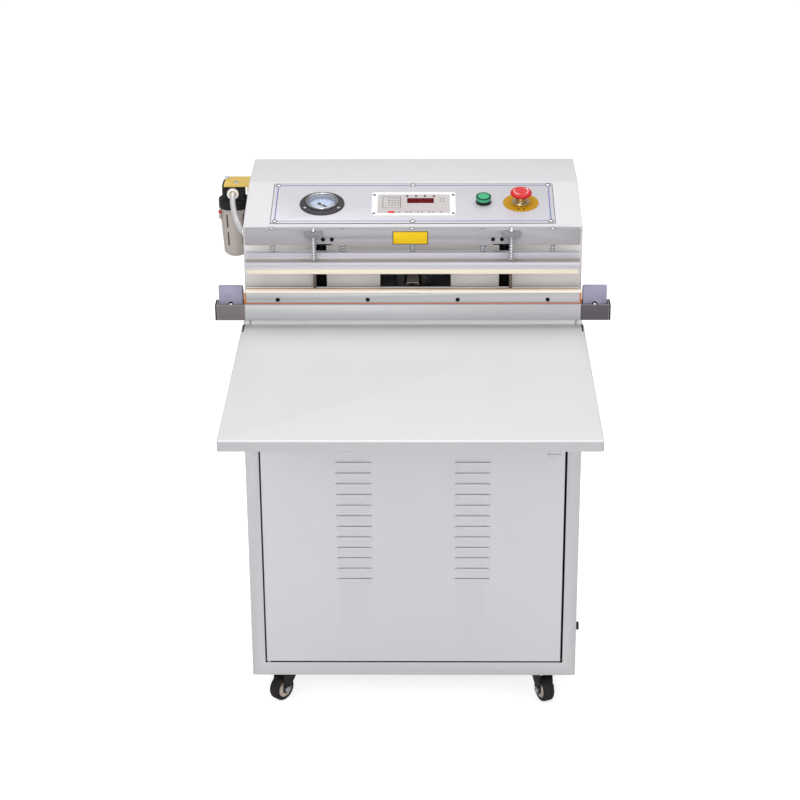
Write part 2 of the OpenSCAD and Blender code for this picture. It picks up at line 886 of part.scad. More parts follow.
// Pilot lamp
module lamp_base() color("black") on_slope(lamp_x, lamp_up, plate_t) {
    rotate_extrude() difference() {
        square([lamp_d / 2, lamp_base_h]);
        translate([0, lamp_base_h - lamp_bevel]) square([lamp_d / 2 - lamp_bevel, lamp_bevel + over]);
    }
    translate([0, 0, -lamp_body_len]) cylinder(r = lamp_hole_r, h = lamp_body_len);
}

module lamp_lens() color("mediumseagreen") on_slope(lamp_x, lamp_up, plate_t + lamp_base_h)
    rotate_extrude()
    polygon([[0, -lamp_bevel], [lamp_d / 2 - lamp_bevel, -lamp_bevel], [lamp_d / 2 - lamp_bevel, 0],
        [lamp_d / 2, 0],
        [lamp_d / 2, lamp_lens_h - lamp_bevel], [lamp_d / 2 - lamp_bevel, lamp_lens_h], [0, lamp_lens_h]]);

// Emergency stop: legend disk, fixed collar with its contact block, pushed stem and turned head
module stop_disk() color("gold") on_slope(stop_x, stop_up, plate_t) difference() {
    cylinder(d = disk_d, h = disk_t);
    translate([0, 0, -over]) cylinder(r = stop_hole_r, h = disk_t + 2 * over);
}

module stop_collar() color("lightsteelblue") on_slope(stop_x, stop_up, plate_t + disk_t) difference() {
    union() {
        cylinder(r1 = stop_collar_r, r2 = stop_collar_r - flange_t, h = stop_collar_h);
        translate([0, 0, -disk_t - plate_t - sheet_t])
            cylinder(r = stop_hole_r, h = disk_t + plate_t + sheet_t);
        translate([0, 0, -stop_body_len])
            cylinder(r = stop_body_r, h = stop_body_len - disk_t - plate_t - sheet_t);
    }
    translate([0, 0, -stop_neck_h - stop_travel])
        cylinder(r = stop_stem_r + fit, h = stop_neck_h + stop_travel + stop_collar_h + over);
}

module stop_stem() color("silver") on_slope(stop_x, stop_up, plate_t + disk_t) {
    translate([0, 0, -stop_neck_h])
        cylinder(r = stop_stem_r, h = stop_neck_h + stop_collar_h + stop_travel + seat);
    translate([0, 0, stop_collar_h + stop_travel]) cylinder(r = stop_pin_r, h = stop_pin_h);
}

module stop_head() color("red")
    on_slope(stop_x, stop_up, plate_t + disk_t + stop_collar_h + stop_travel + seat)
    rotate_extrude() difference() {
        union() {
            square([stop_d / 2 - stop_dome, stop_head_h]);
            translate([0, stop_dome]) square([stop_d / 2, stop_head_h - 2 * stop_dome]);
            for (y = [stop_dome, stop_head_h - stop_dome])
                translate([stop_d / 2 - stop_dome, y]) circle(stop_dome);
        }
        square([stop_pin_r + fit, stop_pin_h - seat + fit]);
        translate([-stop_d, -over]) square([stop_d, stop_head_h + 2 * over]);
    }

// Lower jaw: support tube with stand-offs, sealing bar, strips, covers and guide rods
module support_tube() color("silver") {
    difference() {
        block([-tube_len / 2, tube_y, tube_z], [tube_len / 2, tube_y + tube_s, tube_z + tube_s]);
        block([-tube_len / 2 - over, tube_y + tube_wall, tube_z + tube_wall],
            [tube_len / 2 + over, tube_y + tube_s - tube_wall, tube_z + tube_s - tube_wall]);
    }
    for (x = [-standoff_x, 0, standoff_x])
        block([x - standoff_w / 2, tube_y + tube_s, tube_z],
            [x + standoff_w / 2, head_y + sheet_t, tube_z + tube_s]);
}

module tube_caps() color("black") mirrored() translate([tube_len / 2, 0, 0]) {
    block([0, tube_y, tube_z], [cap_t, tube_y + tube_s, tube_z + tube_s]);
    inner = tube_wall + cap_in;
    block([-4 * cap_t, tube_y + inner, tube_z + inner],
        [0, tube_y + tube_s - inner, tube_z + tube_s - inner]);
}

module bar_profile() translate([bar_y, bar_z]) difference() {
    union() {
        square([bar_d, bar_h]);
        translate([lower_strip_w + heater_w, 0])
            square([bar_d - lower_strip_w - heater_w, bar_h + bar_step_h]);
    }
    translate([-over, bar_h / 2 - bar_groove_h]) square([over + strip_rise, bar_groove_h / 4]);
    translate([bar_d - bar_groove_d, bar_h / 2 - bar_groove_h / 2])
        square([bar_groove_d + over, bar_groove_h]);
}

module sealing_bar() color("lightsteelblue") difference() {
    along_x(seal_w + 2 * bar_over) bar_profile();
    mirrored() translate([rod_x, guide_y, seat_z - guide_sink])
        cylinder(r = guide_r, h = guide_sink + bar_step_h + over);
    translate([0, 0, seat_z + recess_r - recess_h])
        rod_along_y(recess_r, bar_y - over, bar_y + lower_strip_w);
}

module lower_strip() color("antiquewhite")
    along_x(seal_w + 2 * strip_over) translate([bar_y, seat_z]) square([lower_strip_w, lower_strip_h]);

// The heating band under its sheet on top of the bar, and the insulating strip below the bar
module heater_strips() color("sienna") {
    difference() {
        along_x(seal_w) translate([bar_y + lower_strip_w, seat_z]) {
            square([heater_w, heater_h - ptfe_t]);
            square([heater_w - ptfe_t, heater_h]);
        }
        mirrored() translate([rod_x, guide_y, seat_z - over]) cylinder(r = guide_r, h = heater_h + 2 * over);
    }
    block([-seal_w / 2 - bar_over - tape_t, bar_y - ptfe_t, tube_z + tube_s],
        [seal_w / 2 + bar_over + tape_t, bar_y + bar_d, bar_z]);
    mirrored() block([seal_w / 2 + bar_over, bar_y, bar_z],
        [seal_w / 2 + bar_over + tape_t, bar_y + bar_d / 2, seat_z]);
}

// Moulded covers over the bar's live ends: high in front, falling to the back, open towards the bar
// and below, with a notch in front for the screw on the tube
module cover_profile(inset) {
    low = inset > 0 ? -over : 0;
    fall = atan((cover_h - cover_back_h) / (cover_d - cover_land));
    back = cover_h - (cover_d - inset - cover_land) * tan(fall) - inset / cos(fall);
    translate([bar_y - cover_front, tube_z + tube_s])
        polygon([[inset, low], [cover_d - inset, low], [cover_d - inset, back],
            [cover_land - inset * tan(fall / 2), cover_h - inset], [inset, cover_h - inset]]);
}

module terminal_covers() color("thistle") mirrored() translate([cover_x + cover_w / 2, 0, 0]) difference() {
    along_x(cover_w) cover_profile(0);
    translate([-cover_t - over, 0, 0]) along_x(cover_w + 2 * over) cover_profile(cover_t);
    front = bar_y - cover_front;
    translate([0, 0, tube_z + tube_s]) rod_along_y(notch_r, front - over, front + cover_t + over);
}

module guide_rods() color("silver") mirrored() translate([rod_x, guide_y, seat_z - guide_sink])
    cylinder(r = guide_r, h = guide_top - seat_z + guide_sink);

// Pressure beam: a channel open to the back, with a block in front for each long rod
module pressure_beam() color("gainsboro") {
    difference() {
        union() {
            along_x(seal_w + 2 * carrier_over) translate([beam_y, beam_z]) difference() {
                square([beam_d, beam_h]);
                translate([beam_wall, beam_wall]) square([beam_d, beam_h - 2 * beam_wall]);
            }
            mirrored() translate([rod_x, beam_y, rod_block_z]) rotate([90, 0, 90])
                linear_extrude(rod_block_w, center = true) rod_block_profile();
        }
        for (i = [0:bolt_n - 1]) translate([(i - (bolt_n - 1) / 2) * bolt_pitch, bolt_y, beam_z - over])
            cylinder(r = bolt_hole_r, h = beam_h + 2 * over);
        mirrored() translate([rod_x, rod_y, rod_block_z - over])
            cylinder(r = rod_r + fit, h = rod_block_h + 2 * over);
        mirrored() for (i = [0, 1]) translate([arm_screw_x + i * arm_screw_gap, 0, beam_z + arm_screw_up])
            rod_along_y(screw_r, beam_y - over, beam_y + beam_wall + over);
    }
}

module rod_block_profile() {
    translate([-rod_block_d, rod_block_round]) square([rod_block_d, rod_block_h - rod_block_round]);
    translate([-rod_block_d + rod_block_round, 0]) square([rod_block_d - rod_block_round, rod_block_h]);
    translate([-rod_block_d + rod_block_round, rod_block_round]) circle(rod_block_round);
}

module beam_plate() color("gold") translate([beam_plate_x, beam_y, beam_z + beam_h / 2]) rotate([90, 0, 0])
    linear_extrude(beam_plate_t) rounded_rect(beam_plate_w, beam_plate_h, beam_plate_round);

module arm_screws() color("black") mirrored() for (i = [0, 1])
    translate([arm_screw_x + i * arm_screw_gap, beam_y, beam_z + arm_screw_up]) {
        rod_along_y(arm_screw_r, -arm_screw_h, 0);
        rod_along_y(screw_r, -over, beam_d);
    }

// Drive arms: a plate on the beam's back, an arm through the panel, and the piston rod below it
module drive_arms() color("dimgray") mirrored() {
    plate_y = beam_y + beam_d;
    block([arm_plate_x - arm_plate_w / 2, plate_y, beam_z - arm_plate_drop],
        [arm_plate_x + arm_plate_w / 2, plate_y + arm_plate_t, beam_z + beam_h - beam_wall]);
    block([slot_x - arm_w / 2, plate_y, arm_z], [slot_x + arm_w / 2, lift_y, arm_z + arm_h]);
    translate([slot_x, lift_y, arm_z]) cylinder(r = arm_end, h = arm_h);
    translate([slot_x, lift_y, piston_z]) cylinder(r = lift_rod_r, h = arm_z - piston_z);
    translate([slot_x, lift_y, piston_z]) cylinder(r = lift_r - lift_wall - fit, h = lift_piston_h);
}

// Air cylinders on the cabinet top that pull the arms down
module lift_cylinders() color("gainsboro") mirrored() translate([slot_x, lift_y, top_z]) difference() {
    cylinder(r = lift_r, h = lift_h);
    translate([0, 0, lift_cap_h]) cylinder(r = lift_r - lift_wall, h = lift_h - 2 * lift_cap_h);
    cylinder_hole = lift_rod_r + fit;
    translate([0, 0, lift_h - lift_cap_h - over]) cylinder(r = cylinder_hole, h = lift_cap_h + 2 * over);
}

// Carrier: an angle that holds the upper strip and floats under the beam
module carrier_profile() difference() {
    union() {
        translate([carrier_y, ledge_z]) square([ledge_d + upright_t, ledge_h]);
        translate([upright_y, ledge_z]) square([upright_t, ledge_h + upright_h]);
    }
    translate([carrier_y - over, ledge_z + carrier_groove_h])
        square([over + carrier_groove_d / 2, carrier_groove_d]);
    translate([carrier_y - over, ledge_z - over])
        square([upper_strip_in + over, over + carrier_groove_d / 2]);
}

module seal_carrier() color("gainsboro") difference() {
    along_x(seal_w + 2 * carrier_over) carrier_profile();
    mirrored() translate([rod_x, guide_y, ledge_z - over])
        cylinder(r = guide_r + 2 * fit, h = ledge_h + upright_h + 2 * over);
    for (i = [0:bolt_n - 1]) translate([(i - (bolt_n - 1) / 2) * bolt_pitch, bolt_y,
        upright_top_z - bolt_sink])
        cylinder(r = bolt_r, h = bolt_sink + over);
    mirrored() translate([rod_x, rod_y, ledge_top_z - rod_sink]) cylinder(r = rod_r, h = rod_sink + over);
    translate([0, 0, ledge_z - recess_r + recess_h])
        rod_along_y(recess_r, carrier_y - over, carrier_y + ledge_d);
}

module upper_strip() color("antiquewhite") difference() {
    along_x(seal_w) translate([carrier_y + upper_strip_in, upper_strip_z]) {
        square([upper_strip_d - strip_notch, upper_strip_h]);
        translate([0, strip_lip_h]) square([upper_strip_d, upper_strip_h - strip_lip_h]);
    }
    mirrored() translate([rod_x, guide_y, upper_strip_z - over])
        cylinder(r = guide_r + strip_notch, h = upper_strip_h + 2 * over);
}

// Bolts that hang the carrier from the beam, and the two long rods with their nuts
module carrier_studs() color("lightgray") {
    for (i = [0:bolt_n - 1]) translate([(i - (bolt_n - 1) / 2) * bolt_pitch, bolt_y, 0]) {
        translate([0, 0, upright_top_z - bolt_sink])
            cylinder(r = bolt_r, h = beam_top_z - upright_top_z + bolt_sink + over);
        translate([0, 0, beam_top_z]) cylinder(r = bolt_head_r, h = bolt_head_h, $fn = 6);
    }
    mirrored() translate([rod_x, rod_y, 0]) {
        nut_z = rod_block_z + rod_block_h;
        translate([0, 0, ledge_top_z - rod_sink])
            cylinder(r = rod_r, h = nut_z + rod_nut_h + rod_tip - ledge_top_z + rod_sink);
        translate([0, 0, nut_z]) cylinder(r = rod_nut_r, h = rod_nut_h, $fn = 6);
    }
}

// A coil spring as one tube: straight ends square to the seats, rings along a helix between them
function spring_path(radius, wire, length, curls) = let (
    steps = 8 * curls,
    climb = length - 2 * wire
) concat([[radius, 0, 0]],
    [for (i = [0:steps]) [radius * cos(360 * i / 8), radius * sin(360 * i / 8), wire + climb * i / steps]],
    [[radius, 0, length]]);

// Each ring lies across the path: straight at the ends, on the mitre at a corner
function spring_ring(path, i, wire) = let (
    last = len(path) - 1,
    c = path[i],
    radial = [c[0], c[1], 0] / norm([c[0], c[1]]),
    before = i == 0 ? [0, 0, 1] : (i == 1 ? [0, 0, 1] : unit(path[i] - path[i - 1])),
    after = i == last ? [0, 0, 1] : (i == last - 1 ? [0, 0, 1] : unit(path[i + 1] - path[i])),
    tangent = i == 0 || i == last ? [0, 0, 1] : unit(before + after),
    across = cross(tangent, radial),
    stretch = i == 1 || i == last - 1 ? sqrt(2) : 1
) [for (k = [0:5]) c + wire / 2 * (cos(60 * k) * radial + stretch * sin(60 * k) * across)];

function unit(v) = v / norm(v);

function tube_faces(rings, sides) = concat(
    [[for (k = [0:sides - 1]) k]],
    [for (i = [0:rings - 2], k = [0:sides - 1])
        [i * sides + k, (i + 1) * sides + k, (i + 1) * sides + (k + 1) % sides]],
    [for (i = [0:rings - 2], k = [0:sides - 1])
        [i * sides + k, (i + 1) * sides + (k + 1) % sides, i * sides + (k + 1) % sides]],
    [[for (k = [sides - 1:-1:0]) (rings - 1) * sides + k]]);

module coil_spring(diameter, wire, length, curls) {
    path = spring_path((diameter - wire) / 2, wire, length, curls);
    points = [for (i = [0:len(path) - 1]) each spring_ring(path, i, wire)];
    polyhedron(points, tube_faces(len(path), 6), convexity = 10);
}

// The least gap between rings that are more than a third of a curl apart
function spring_gap(path, wire) = min([for (i = [0:len(path) - 1], j = [i + 4:1:len(path) - 1])
    norm(path[i] - path[j])]) - wire;

module short_springs() color("gray") for (i = [0:bolt_n - 1])
    translate([(i - (bolt_n - 1) / 2) * bolt_pitch, bolt_y, upright_top_z])
        coil_spring(short_spring_d, short_wire, float_gap, short_curls);

module long_springs() color("gray") mirrored() translate([rod_x, rod_y, ledge_top_z])
    coil_spring(long_spring_d, long_wire, rod_block_z - ledge_top_z, long_curls);

echo(short_spring_gap = spring_gap(spring_path((short_spring_d - short_wire) / 2, short_wire, float_gap,
    short_curls), short_wire));
echo(long_spring_gap = spring_gap(spring_path((long_spring_d - long_wire) / 2, long_wire,
    rod_block_z - ledge_top_z, long_curls), long_wire));

// Nozzle: a flat mouth that narrows into a round tube
module nozzle() color("silver") translate([0, nozzle_y, nozzle_z]) {
    difference() {
        union() {
            linear_extrude(mouth_h) polygon([[-mouth_w / 2, 0], [mouth_w / 2, 0], [mouth_w / 2, mouth_neck],
                [nozzle_r, nozzle_flare_len], [nozzle_r, nozzle_flare_len + nozzle_r],
                [-nozzle_r, nozzle_flare_len + nozzle_r], [-nozzle_r, nozzle_flare_len],
                [-mouth_w / 2, mouth_neck]]);
            translate([0, 0, tube_axis]) rod_along_y(nozzle_r, nozzle_flare_len, nozzle_len);
        }
        block([-mouth_w / 2 + nozzle_wall, -over, (mouth_h - mouth_slit_h) / 2],
            [mouth_w / 2 - nozzle_wall, mouth_neck, (mouth_h + mouth_slit_h) / 2]);
        translate([0, 0, tube_axis]) rod_along_y(mouth_slit_h / 2, mouth_neck - over, nozzle_len + over);
    }
}

// Guide: two cheeks beside the mouth and a bored block behind, on a foot
module nozzle_guide() color("darkslategray") difference() {
    block([-guide_block_w / 2, guide_block_y, top_z],
        [guide_block_w / 2, guide_block_y + guide_block_d, nozzle_z + guide_block_top]);
    block([-guide_block_w / 2 + guide_cheek_w, guide_block_y - over, nozzle_z - guide_block_top / 2],
        [guide_block_w / 2 - guide_cheek_w, guide_block_y + guide_throat_d,
            nozzle_z + guide_block_top + over]);
    block([-guide_block_w, guide_block_y + guide_foot_d, top_z - over],
        [guide_block_w, guide_block_y + guide_block_d + over, top_z + guide_foot_d]);
    translate([0, 0, nozzle_z + tube_axis])
        rod_along_y(nozzle_r + fit, guide_block_y, guide_block_y + guide_block_d + over);
}

// Air filter on the head's left side
module filter_head() color("black") translate([filter_x, filter_y, 0]) difference() {
    union() {
        block([-filter_s / 2, -filter_s / 2, filter_collar_z], [filter_s / 2, filter_s / 2, filter_top_z]);
        translate([0, 0, filter_collar_z - collar_h]) rotate_extrude() {
            square([collar_r, collar_h - collar_round]);
            square([collar_r - collar_round, collar_h]);
            translate([collar_r - collar_round, collar_h - collar_round]) circle(collar_round);
        }
    }
    translate([0, 0, filter_collar_z - collar_h - over])
        cylinder(r = bowl_neck_r + fit, h = bowl_neck_h + seat + over);
}

module filter_bracket() color("khaki") {
    edge = -head_w / 2;
    block([edge - bracket_plate_out, filter_y - bracket_plate_d / 2, filter_top_z],
        [edge, filter_y + bracket_plate_d / 2, filter_top_z + bracket_plate_t]);
    block([edge - bracket_plate_t, filter_y + filter_s / 2 + seat, filter_top_z - bracket_drop],
        [edge, filter_y + bracket_plate_d / 2, filter_top_z + bracket_plate_t]);
    block([edge - bracket_plate_t, filter_y - bracket_plate_d / 2, filter_top_z - bracket_drop],
        [edge, filter_y - filter_s / 2 - seat, filter_top_z + bracket_plate_t]);
    for (p = [[-filter_s / 2, filter_s / 2], [0, -filter_s / 4]])
        translate([filter_x + p[0] + bracket_screw_r * 2, filter_y + p[1], filter_top_z + bracket_plate_t])
            cylinder(r = bracket_screw_r, h = bracket_screw_h);
}

// Bowl guard: a tapering shell with slots, its neck held in the head by a quarter turn
module filter_bowl() color("darkgray") translate([filter_x, filter_y, bowl_top_z]) difference() {
    rotate_extrude() difference() {
        polygon([[0, bowl_neck_h], [bowl_neck_r, bowl_neck_h], [bowl_neck_r, 0], [collar_r - bowl_top_in, 0],
            [bowl_end_r, -bowl_len + bowl_round], [bowl_end_r - bowl_round, -bowl_len], [0, -bowl_len]]);
        polygon([[-over, bowl_neck_h + over], [bowl_neck_r - bowl_wall, bowl_neck_h + over],
            [bowl_neck_r - bowl_wall, -bowl_wall], [collar_r - bowl_top_in - bowl_wall, -2 * bowl_wall],
            [bowl_end_r - bowl_wall, -bowl_len + bowl_round],
            [bowl_end_r - bowl_wall - bowl_round / 2, -bowl_len + bowl_wall],
            [-over, -bowl_len + bowl_wall]]);
    }
    for (i = [0:bowl_slot_n - 1], row = [0, 1]) rotate(lock_a + 360 / bowl_slot_n * (i + 1 / 2))
        translate([0, -bowl_slot_w / 2, -bowl_slot_gap - bowl_slot_h - row * (bowl_slot_h + bowl_slot_gap)])
            cube([2 * collar_r, bowl_slot_w, bowl_slot_h]);
}

// The sliding catch on the bowl
module filter_lock() color("lightgray") translate([filter_x, filter_y, bowl_top_z - lock_travel])
    rotate(lock_a)
    translate([collar_r - bowl_top_in + lock_gap, -lock_w / 2, -lock_h])
        cube([lock_t, lock_w, lock_h - seat]);

module filter_fitting() color("white")
    translate([filter_x, filter_y - filter_s / 2, filter_top_z - fitting_drop]) {
    rod_along_y(fitting_nut_r, -fitting_nut_t, 0);
    rod_along_y(fitting_barb_r, -fitting_nut_t - fitting_barb_len, 0);
    translate([-filter_x, -filter_y + filter_s / 2, -filter_top_z + fitting_drop])
        translate([-head_w / 2 - port_t, port_y, port_z]) rotate([0, 90, 0]) cylinder(r = port_r, h = port_t);
}

// Clear hose from the barb to the port in the head's side, as a smooth curve between the two
function hose_point(t) = let (
    a = [filter_x, filter_y - filter_s / 2 - fitting_nut_t - fitting_barb_len, filter_top_z - fitting_drop],
    d = [-head_w / 2 - port_t, port_y, port_z],
    b = a - [0, hose_lead, 0],
    c = d - [hose_tail, 0, 0]
) pow(1 - t, 3) * a + 3 * pow(1 - t, 2) * t * b + 3 * (1 - t) * t * t * c + t * t * t * d;

function hose_ring(i) = let (
    t = i / (hose_rings - 1),
    step = 1 / (4 * hose_rings),
    along = i == 0 ? [0, -1, 0] : (i == hose_rings - 1 ? [1, 0,
        0] : unit(hose_point(t + step) - hose_point(t - step))),
    side = unit(cross(along, [0, 0, 1])),
    up = cross(side, along)
) [for (k = [0:hose_sides - 1])
    hose_point(t) + hose_r * (cos(360 * k / hose_sides) * side + sin(360 * k / hose_sides) * up)];

module filter_hose() color("aliceblue", 0.5)
    polyhedron([for (i = [0:hose_rings - 1]) each hose_ring(i)], tube_faces(hose_rings, hose_sides),
        convexity = 6);

// Vacuum pump and motor on one base plate
module vacuum_pump() color("steelblue") translate([pump_x, pump_y, floor_z + bottom_t]) {
    for (x = [-1, 1], y = [-1, 1])
        translate([x * (pump_base_w - motor_r) / 2, y * (pump_base_d - motor_r) / 2, 0])
            cylinder(r = pump_foot_h, h = pump_foot_h);
    translate([0, 0, pump_foot_h + pump_base_t / 2])
        cube([pump_base_w, pump_base_d, pump_base_t], center = true);
    body_z = pump_foot_h + pump_base_t;
    translate([pump_base_w / 2 - pump_block_w, -pump_block_d / 2, body_z])
        cube([pump_block_w, pump_block_d, pump_block_h]);
    translate([pump_base_w / 2 - pump_block_w / 2, 0, body_z + pump_block_h]) {
        cylinder(r = pump_dome_r, h = pump_dome_h);
        cylinder(r = pump_port_r, h = pump_port_h);
    }
    translate([pump_base_w / 2 - pump_block_w - motor_len, 0, body_z + motor_r + motor_fin_h])
        rotate([0, 90, 0]) {
        cylinder(r = motor_r, h = motor_len);
        for (i = [0:motor_fin_n - 1]) rotate(360 / motor_fin_n * i)
            translate([0, -motor_fin_t / 2, pump_foot_h])
                cube([motor_r + motor_fin_h, motor_fin_t, motor_len - 2 * pump_foot_h]);
    }
    block([pump_base_w / 2 - pump_block_w - motor_len + pump_foot_h, -motor_r / 2, body_z],
        [pump_base_w / 2 - pump_block_w, motor_r / 2, body_z + motor_r / 2]);
}

// Sealing transformer: a laminated core with two coils
module transformer() color("peru") translate([core_x, core_y, floor_z + bottom_t]) {
    difference() {
        translate([0, 0, core_h / 2]) cube([core_w, core_d, core_h], center = true);
        translate([0, 0, core_h / 2]) cube([core_w - 2 * core_leg, core_d + over, core_h - 2 * core_leg],
            center = true);
    }
    for (x = [-1, 1]) translate([x * (core_w - core_leg) / 2, 0, core_leg + coil_gap])
        cylinder(r = coil_r, h = core_h - 2 * core_leg - 2 * coil_gap);
}

module cable_gland() color("black") translate([cabinet_w / 2, gland_y, floor_z + gland_z])
    rotate([0, 90, 0]) difference() {
    union() {
        translate([0, 0, -sheet_t - gland_nut_t])
            cylinder(r = gland_r, h = gland_len + sheet_t + gland_nut_t);
        cylinder(r = gland_nut_r, h = gland_nut_t);
        translate([0, 0, -sheet_t - gland_nut_t]) cylinder(r = gland_nut_r, h = gland_nut_t);
    }
    translate([0, 0, -gland_len]) cylinder(r = gland_bore_r, h = 2 * gland_len + over);
}

// Casters
module at_caster(i) {
    p = caster_places[i];
    y = p[2] == 0 ? caster_inset : cabinet_d - caster_inset;
    translate([p[1] * caster_x, y, 0]) rotate(p[3]) children();
}

module caster_plates() color("silver") for (p = caster_places) {
    y = p[2] == 0 ? caster_inset : cabinet_d - caster_inset;
    translate([p[1] * caster_x, y, 0]) difference() {
        union() {
            translate([0, 0, caster_h - plate_thick]) linear_extrude(plate_thick)
                rounded_rect(plate_side, plate_side, race_h);
            translate([0, 0, caster_h - plate_thick - race_h]) cylinder(r = race_r, h = race_h);
        }
        translate([0, 0, caster_h - plate_thick - race_h - over])
            cylinder(r = king_r + fit, h = race_h + plate_thick - fit);
    }
}

// Fork, drawn with the wheel trailing along +X
module caster_fork(i) color("black") at_caster(i) {
    top = caster_h - plate_thick - race_h;
    leg_y = wheel_w / 2 + fork_gap;
    translate([0, 0, top - fork_top_t]) cylinder(r = fork_top_r, h = fork_top_t);
    translate([0, 0, top - fork_top_t]) cylinder(r = king_r, h = fork_top_t + race_h + plate_thick / 2);
    for (side = [0, 1]) mirror([0, side, 0]) translate([0, leg_y + fork_leg_t, 0]) rotate([90, 0, 0])
        linear_extrude(fork_leg_t) {
        translate([caster_trail, wheel_r]) circle(fork_boss_r);
        polygon([[-fork_leg_top, top], [-fork_leg_top, top - fork_boss_r],
            [caster_trail - fork_boss_r, wheel_r],
            [caster_trail + fork_boss_r, wheel_r], [caster_trail + fork_boss_r / 2, top]]);
    }
    translate([-fork_leg_top, -leg_y - fork_leg_t, top - fork_top_t])
        cube([fork_leg_top + caster_trail + fork_boss_r / 2, 2 * (leg_y + fork_leg_t), fork_top_t]);
    reach = leg_y + fork_leg_t + bolt_cap_t;
    translate([caster_trail, 0, wheel_r]) {
        rod_along_y(axle_r, -reach, reach);
        rotate([-90, 0, 0]) for (z = [-reach, reach - bolt_cap_t]) translate([0, 0, z])
            cylinder(r = bolt_cap_r, h = bolt_cap_t, $fn = 6);
    }
}

// Wheel: a rounded tyre on a dished hub
module caster_wheel(i) color("darkslategray") at_caster(i) translate([caster_trail, 0, wheel_r])
    rotate([90, 0, 0])
    rotate_extrude() difference() {
        union() {
            translate([axle_r + fit, -wheel_w / 2]) square([hub_r - axle_r, wheel_w]);
            translate([axle_r + fit, -wheel_w / 2 + hub_dish])
                square([wheel_r - tyre_depth - axle_r, wheel_w - 2 * hub_dish]);
            translate([wheel_r - tyre_depth - tyre_round, -wheel_w / 2]) square([tyre_depth, wheel_w]);
            translate([wheel_r - tyre_depth, -wheel_w / 2 + tyre_round])
                square([tyre_depth, wheel_w - 2 * tyre_round]);
            for (y = [-1, 1]) translate([wheel_r - tyre_round, y * (wheel_w / 2 - tyre_round)])
                circle(tyre_round);
        }
        translate([-over, -wheel_w]) square([axle_r + fit + over, 2 * wheel_w]);
    }

placed() cabinet_shell();
placed() door_panel();
placed() door_pivots();
placed() door_latch();
placed() work_table();
placed() table_brackets();
placed() head_cover();
placed() head_front_panel();
placed() control_plate();
placed() machine_screws();
placed() gauge_case();
placed() gauge_dial();
placed() gauge_needle();
placed() gauge_lens();
placed() controller_frame();
placed() controller_keypad();
placed() controller_display();
placed() lamp_base();
placed() lamp_lens();
placed() stop_disk();
placed() stop_collar();
placed() stop_stem();
placed() stop_head();
placed() support_tube();
placed() tube_caps();
placed() sealing_bar();
placed() lower_strip();
placed() heater_strips();
placed() terminal_covers();
placed() guide_rods();
placed() pressure_beam();
placed() beam_plate();
placed() arm_screws();
placed() drive_arms();
placed() seal_carrier();
placed() upper_strip();
placed() carrier_studs();
placed() short_springs();
placed() long_springs();
placed() nozzle();
placed() nozzle_guide();
placed() lift_cylinders();
placed() filter_head();
placed() filter_bracket();
placed() filter_bowl();
placed() filter_lock();
placed() filter_fitting();
placed() filter_hose();
placed() vacuum_pump();
placed() transformer();
placed() cable_gland();
placed() caster_plates();
placed() caster_fork(0);  // caster_fork_fl
placed() caster_fork(1);  // caster_fork_fr
placed() caster_fork(2);  // caster_fork_rl
placed() caster_fork(3);  // caster_fork_rr
placed() caster_wheel(0);  // wheel_fl
placed() caster_wheel(1);  // wheel_fr
placed() caster_wheel(2);  // wheel_rl
placed() caster_wheel(3);  // wheel_rr
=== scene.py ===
"""Looks of a floor-standing external vacuum sealer: metal, castings, springs, controls, stage and camera."""

import json
import logging
from dataclasses import dataclass, replace
from enum import Enum
from functools import reduce
from typing import Iterable, Sequence

import bmesh
import bpy
import numpy as np
from mathutils import Matrix, Vector

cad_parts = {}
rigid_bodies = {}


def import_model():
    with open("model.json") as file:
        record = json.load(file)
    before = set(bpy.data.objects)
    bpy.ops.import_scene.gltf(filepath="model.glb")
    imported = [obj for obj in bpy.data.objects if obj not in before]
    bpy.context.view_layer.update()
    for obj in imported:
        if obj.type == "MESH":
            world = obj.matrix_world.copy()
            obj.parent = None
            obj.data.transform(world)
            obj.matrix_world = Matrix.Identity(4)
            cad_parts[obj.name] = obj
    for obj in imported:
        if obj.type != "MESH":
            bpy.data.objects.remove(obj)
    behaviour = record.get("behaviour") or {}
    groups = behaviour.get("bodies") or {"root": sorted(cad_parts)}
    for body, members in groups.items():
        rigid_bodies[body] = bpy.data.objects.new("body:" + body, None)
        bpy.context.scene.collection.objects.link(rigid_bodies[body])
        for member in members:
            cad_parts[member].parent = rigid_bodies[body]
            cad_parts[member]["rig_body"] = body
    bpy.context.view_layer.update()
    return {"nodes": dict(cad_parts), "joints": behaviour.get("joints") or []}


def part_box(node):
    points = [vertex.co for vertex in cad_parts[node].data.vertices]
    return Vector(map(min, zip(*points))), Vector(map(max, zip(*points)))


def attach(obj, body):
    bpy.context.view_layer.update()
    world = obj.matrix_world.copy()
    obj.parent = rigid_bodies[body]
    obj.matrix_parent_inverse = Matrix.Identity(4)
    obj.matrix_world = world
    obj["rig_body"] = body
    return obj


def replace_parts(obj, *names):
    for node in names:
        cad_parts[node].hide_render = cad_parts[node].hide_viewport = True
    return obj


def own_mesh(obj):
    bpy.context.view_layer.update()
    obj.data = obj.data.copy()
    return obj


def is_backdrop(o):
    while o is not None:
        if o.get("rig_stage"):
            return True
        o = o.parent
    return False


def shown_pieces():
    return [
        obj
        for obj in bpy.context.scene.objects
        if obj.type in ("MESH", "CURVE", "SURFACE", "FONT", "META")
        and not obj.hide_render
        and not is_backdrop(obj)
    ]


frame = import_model()
LOG = logging.getLogger("sealer")
MM = 0.001
MERGE_M = 2e-6
Array = np.ndarray
Colour = tuple[float, float, float]


def machine_shift() -> Array:
    """Distance in millimetres from the machine's own zero, mid cabinet front on the floor, to the frame's.

    Returns:
        The shift as an array of three numbers.
    """
    low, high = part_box("cabinet_shell")
    return np.array([(low.x + high.x) / 2, low.y, 0.0]) / MM


SHIFT = machine_shift()


